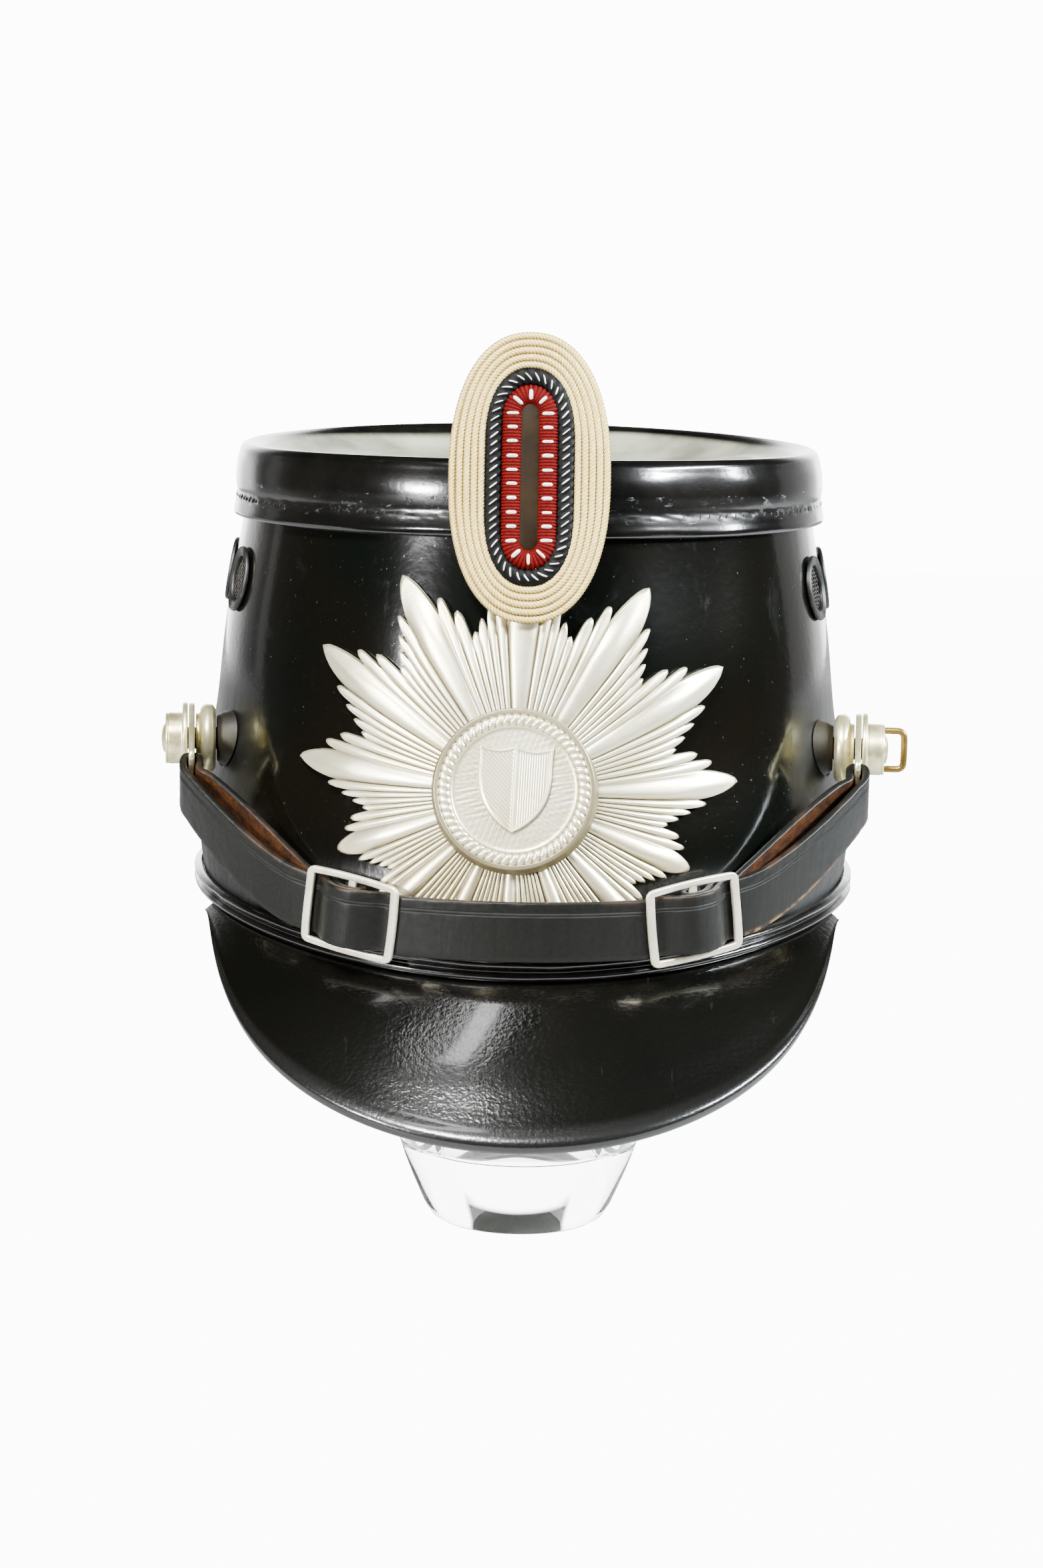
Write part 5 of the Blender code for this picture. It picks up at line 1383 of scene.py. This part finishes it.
def makeCockade(silver, black, red, gold, thread):
    # Nested oval rings of cord, each standing higher than the one round it.
    c = cockade
    place = cockadePlace()
    insets = np.cumsum([0, *c["bands"]])

    def around(i, inset, count):
        share = inset / c["bands"][i]
        shape = np.array(c["shapes"][i]) * (1 - share) + np.array(c["shapes"][i + 1]) * share
        cut = 2 * (insets[i] + inset)
        return ovalPath(c["width"] - cut, c["height"] - cut, shape, count)

    # cream band: five cords on a flat backing, each twisted from four strands
    pitch = c["bands"][0] / c["cords"]
    rows = [around(0, inset, 240)[0] + (0, 0, h) for inset, h in c["backing"]]
    parts = [patch(onFrame(np.stack(rows), place), True, True)]
    turn = spaced((-0.35, math.pi + 0.35, 13), (math.pi * 1.35, math.pi * 1.65, 2))
    for k in range(c["cords"]):
        inset = (k + 0.5) * pitch
        count = int(around(0, inset, 10)[2] / c["step"])
        path, run, length = around(0, inset, count)
        laps = round(length / c["twist"])
        wave = np.cos(c["strands"] * turn[None] + 2 * math.pi * laps * (run / length)[:, None])
        radius = pitch * c["fat"] * (1 + 0.085 * wave)
        # the mark is high on each cord's top and low on its sides, underside and between strands, where the cord
        # finish paints shade
        mark = np.clip(np.sin(turn), 0, 1)[None] * (0.64 + 0.36 * wave)
        top = float(curveThrough(c["tops"], inset / c["bands"][0]))
        tube = tubeRound(path, top - pitch * c["fat"], radius, turn)
        parts.append(patch(onFrame(tube, place), True, True, mark=mark))
    addPiece("cockadeCords", parts, silver, "cockade_cords")

    # each ring's mark is low between its strands or ridges, where the cord finish paints shade
    def strands(turn, laps, share):
        lobe = np.abs(np.sin(2 * turn[None] + math.pi * laps * share)) ** 0.6
        return 0.80 + 0.20 * lobe, lobe

    def ridges(turn, laps, share):
        wave = np.cos(2 * math.pi * laps * share) + 0 * turn[None]
        return 0.955 + 0.045 * wave, 0.5 + 0.5 * wave

    def addRing(i, name, finish, node, shape, row):
        half = c["bands"][i] / 2 + 0.0002  # laid against its neighbours
        top = c["edge"] + (c["dome"] - c["edge"]) * (i + 1) / 3
        high = top * 0.55
        path, run, length = around(i, c["bands"][i] / 2, row["count"])
        turn = turnAngles(24)
        radius, mark = shape(turn, round(length / row["turns"]), (run / length)[:, None])
        tube = tubeRound(path, 0, radius * half, turn)
        rise = tube[..., 2] / half
        tube[..., 2] = high + rise * np.where(rise > 0, top - high, high)
        parts = [patch(onFrame(tube, place), True, True, mark=mark)]
        for dash in dashes(path, run, length, row, high, (top - high) * row["lift"], half * 0.99):
            parts.append(patch(onFrame(dash, place), wrapCols=True, paint=1))
        addPiece(name, parts, [finish, thread], node)

    addRing(1, "cockadeDarkRing", black, "cockade_dark_ring", strands, darkRing)
    addRing(2, "cockadeRedRing", red, "cockade_red_ring", ridges, redRing)
    cut = 2 * insets[3] - 0.0006
    plate = ovalPath(c["width"] - cut, c["height"] - cut, c["shapes"][3], 120)[0]
    grid = np.stack([plate * size + (0, 0, h) for size, h in c["plate"]])
    plate = patch(onFrame(grid, place), wrapCols=True)
    addPiece("cockadePlate", plate, gold, "cockade_slot_plate", sharp=50)


# floor, light and camera

studio = dict(
    floorRadius=1.40, floorFront=0.36, floorLow=-0.0002, floorShare=0.93, paper=(13.0, 13.0, 13.0),
    # share of light by direction, from the camera's side (0) to behind the hat (1)
    sky=[
        (0.0, 0.005), (0.60, 0.005), (0.765, 0.012), (0.82, 0.022),
        (0.87, 0.055), (0.933, 0.31), (0.965, 0.90), (1.0, 1.0),
    ],
    skyPower=8.0, horizon=(0.25, 0.55, 1.0, 0.05), dark=(0.030, 0.032, 0.022), centre=(0, -0.05, 0.17),
    # directions in which rays through the glass see the dark colour, a painted reflection that makes the dark lens in
    # the glass's foot: height, squared side and depth
    lensLow=(0.15, 0.20), lensSide=(0.10, 0.14), lensBack=(0.70, 0.80),
    # name, degrees from the front and up, distance, width, height, power and colour
    boxes=[
        ("skirtLeft", -44, 11, 1.5, 0.26, 0.16, 50, (1, 1, 1)),
        ("skirtRight", 74, 30, 1.6, 0.90, 0.12, 165, (0.90, 0.96, 1.0)),
        ("skirtSpot", 92, 19, 1.6, 0.10, 0.14, 12, (0.90, 0.96, 1.0)),
        ("visorTop", -36, 75, 1.5, 0.10, 0.42, 3.4, (1, 1, 1)),
        ("edgeLeft", -122, 0, 1.6, 0.16, 1.0, 0.15, (1, 1, 1)),
        ("edgeRight", 132, 0, 1.6, 0.75, 1.0, 0.8, (1, 1, 1)),
        ("fill", -22, 48, 2.4, 0.5, 0.5, 230, (1, 1, 1)),
    ],
)
view = dict(sensor=36, lens=4702 / 2357, near=0.05, pitch=0.149, roll=0.95, place=(-0.00075, -0.8876, 0.2598))


def softBox(name, turn, rise, away, width, height, power, tint):
    # A soft box that looks at the hat.
    t, r = math.radians(turn), math.radians(rise)
    out = np.array([math.sin(t) * math.cos(r), -math.cos(t) * math.cos(r), math.sin(r)])
    light = bpy.data.lights.new(name, "AREA")
    light.shape = "RECTANGLE"
    light.size, light.size_y, light.energy, light.color = width, height, power, tint
    across = unit(np.cross((0, 0.01, 1), out))
    stood(linked(name, light), out * away + studio["centre"], across, np.cross(out, across), out)


def makeFloor():
    # Pale floor that glows as white paper to the camera and through the glass.
    s = studio
    mesh = bpy.data.meshes.new("floor")
    r = s["floorRadius"]
    ring = lathe([(r, s["floorLow"])], 128)[0] + (0, r - s["floorFront"], 0)
    mesh.from_pydata(ring.tolist(), [], [list(range(128))])
    f = Finish("paleFloor", rough=0.6)
    f.tones(f.noise(3, detail=2), (0.30, 0.30, 0.30), (0.34, 0.34, 0.34))
    seen = f.add("ShaderNodeLightPath") + f.add("ShaderNodeLightPath", out="Is Transmission Ray")
    glow = f.add("ShaderNodeEmission", {}, {"Color": s["paper"], "Strength": 1.0})
    lit = Wire(f, f.shader.outputs[0])
    paper = f.add("ShaderNodeMixShader", {}, {0: seen * s["floorShare"], 1: lit, 2: glow})
    f.feed(f.tree.nodes["Material Output"].inputs[0], paper)
    mesh.materials.append(f.material)
    linked("floor", mesh)


def makeSky():
    # A bright surround behind the hat and a dark one in front; the camera sees paper, and rays through the glass in
    # some directions see a painted dark reflection, the lens in its foot.
    s = studio
    world = bpy.data.worlds.new("studio")
    bpy.context.scene.world = world
    world.use_nodes = True
    w = Graph(world.node_tree)
    where = w.add("ShaderNodeTexCoord")
    x, y, z = (w.part(where, axis) for axis in "XYZ")
    level = w.add("ShaderNodeValToRGB", {}, {0: y * 0.5 + 0.5})
    ramp = level.socket.node.color_ramp
    ramp.elements[0].position, ramp.elements[1].position = s["sky"][0][0], s["sky"][-1][0]
    for place, _ in s["sky"][1:-1]:
        ramp.elements.new(place)
    for element, (_, share) in zip(ramp.elements, s["sky"]):
        element.color = (share, share, share, 1)
    low = w.ease(z, *s["horizon"])
    light = w.add("ShaderNodeVectorMath", {"operation": "SCALE"}, {0: level, "Scale": low * s["skyPower"]})
    through = w.add("ShaderNodeLightPath", out="Is Transmission Ray")
    # painted reflection: rays through the glass heading back and low see the dark colour, which shows as the dark
    # lens in the glass's foot
    behind = w.ease(z, *s["lensLow"]) * w.fall(x ** 2.0, *s["lensSide"]) * w.ease(y, *s["lensBack"])
    seen = w.add("ShaderNodeLightPath") + through * (1.0 - behind)
    shown = w.blend(seen, w.blend(through, light, s["dark"]), s["paper"])
    w.feed(w.tree.nodes["Background"].inputs[0], shown)


def makeCamera():
    # Camera at the photograph's distance and height, rolled about a degree.
    v = view
    data = bpy.data.cameras.new("camera")
    data.sensor_fit = "VERTICAL"
    data.sensor_height = v["sensor"]
    data.lens = v["lens"] * v["sensor"]
    data.clip_start = v["near"]
    s, c = math.sin(v["pitch"]), math.cos(v["pitch"])
    right, up = turned(np.array([1.0, 0, 0]), np.array([0, s, c]), math.radians(v["roll"]))
    bpy.context.scene.camera = linked("camera", data)
    stood(bpy.context.scene.camera, v["place"], right, up, np.array([0, -c, s]))


makeCamera()
makeFloor()
makeSky()
for box in studio["boxes"]:
    softBox(*box)
print("camera and light placed")
metal = {name: metalFinish(name, **row) for name, row in metals.items()}
cord = {name: cordFinish(name, **row) for name, row in cords.items()}
makeStand()
makeShell(lacquerFinish())
makeLid(topFinish(), cord["oldThread"])
makeBand(bandFinish())
visorLacquer = visorFinish()
for peak in visors["peaks"]:
    makeVisor(visorLacquer, *peak)
print("stand and crown made")
makeVents(paintFinish(), metal["ventWire"])
makePosts(metal["postAlloy"], metal["seatAlloyPaintedShade"])
makeLugs(metal["postAlloy"])
makeHook(metal["brassWire"])
makeStrap(strapFinish(), suedeFinish())
makeBuckles(metal["buckleSteel"])
print("fittings and strap made")
silver = starFinish()
makeStar(silver)
makeMedallion(silver)
makeShield(silver)
makeCockade(cord["creamCord"], cord["blackCord"], cord["redCord"], metal["oldGold"], cord["silverThread"])
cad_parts["cockade_pin"].material_slots[0].material = metal["postAlloy"]
print("star and cockade made")
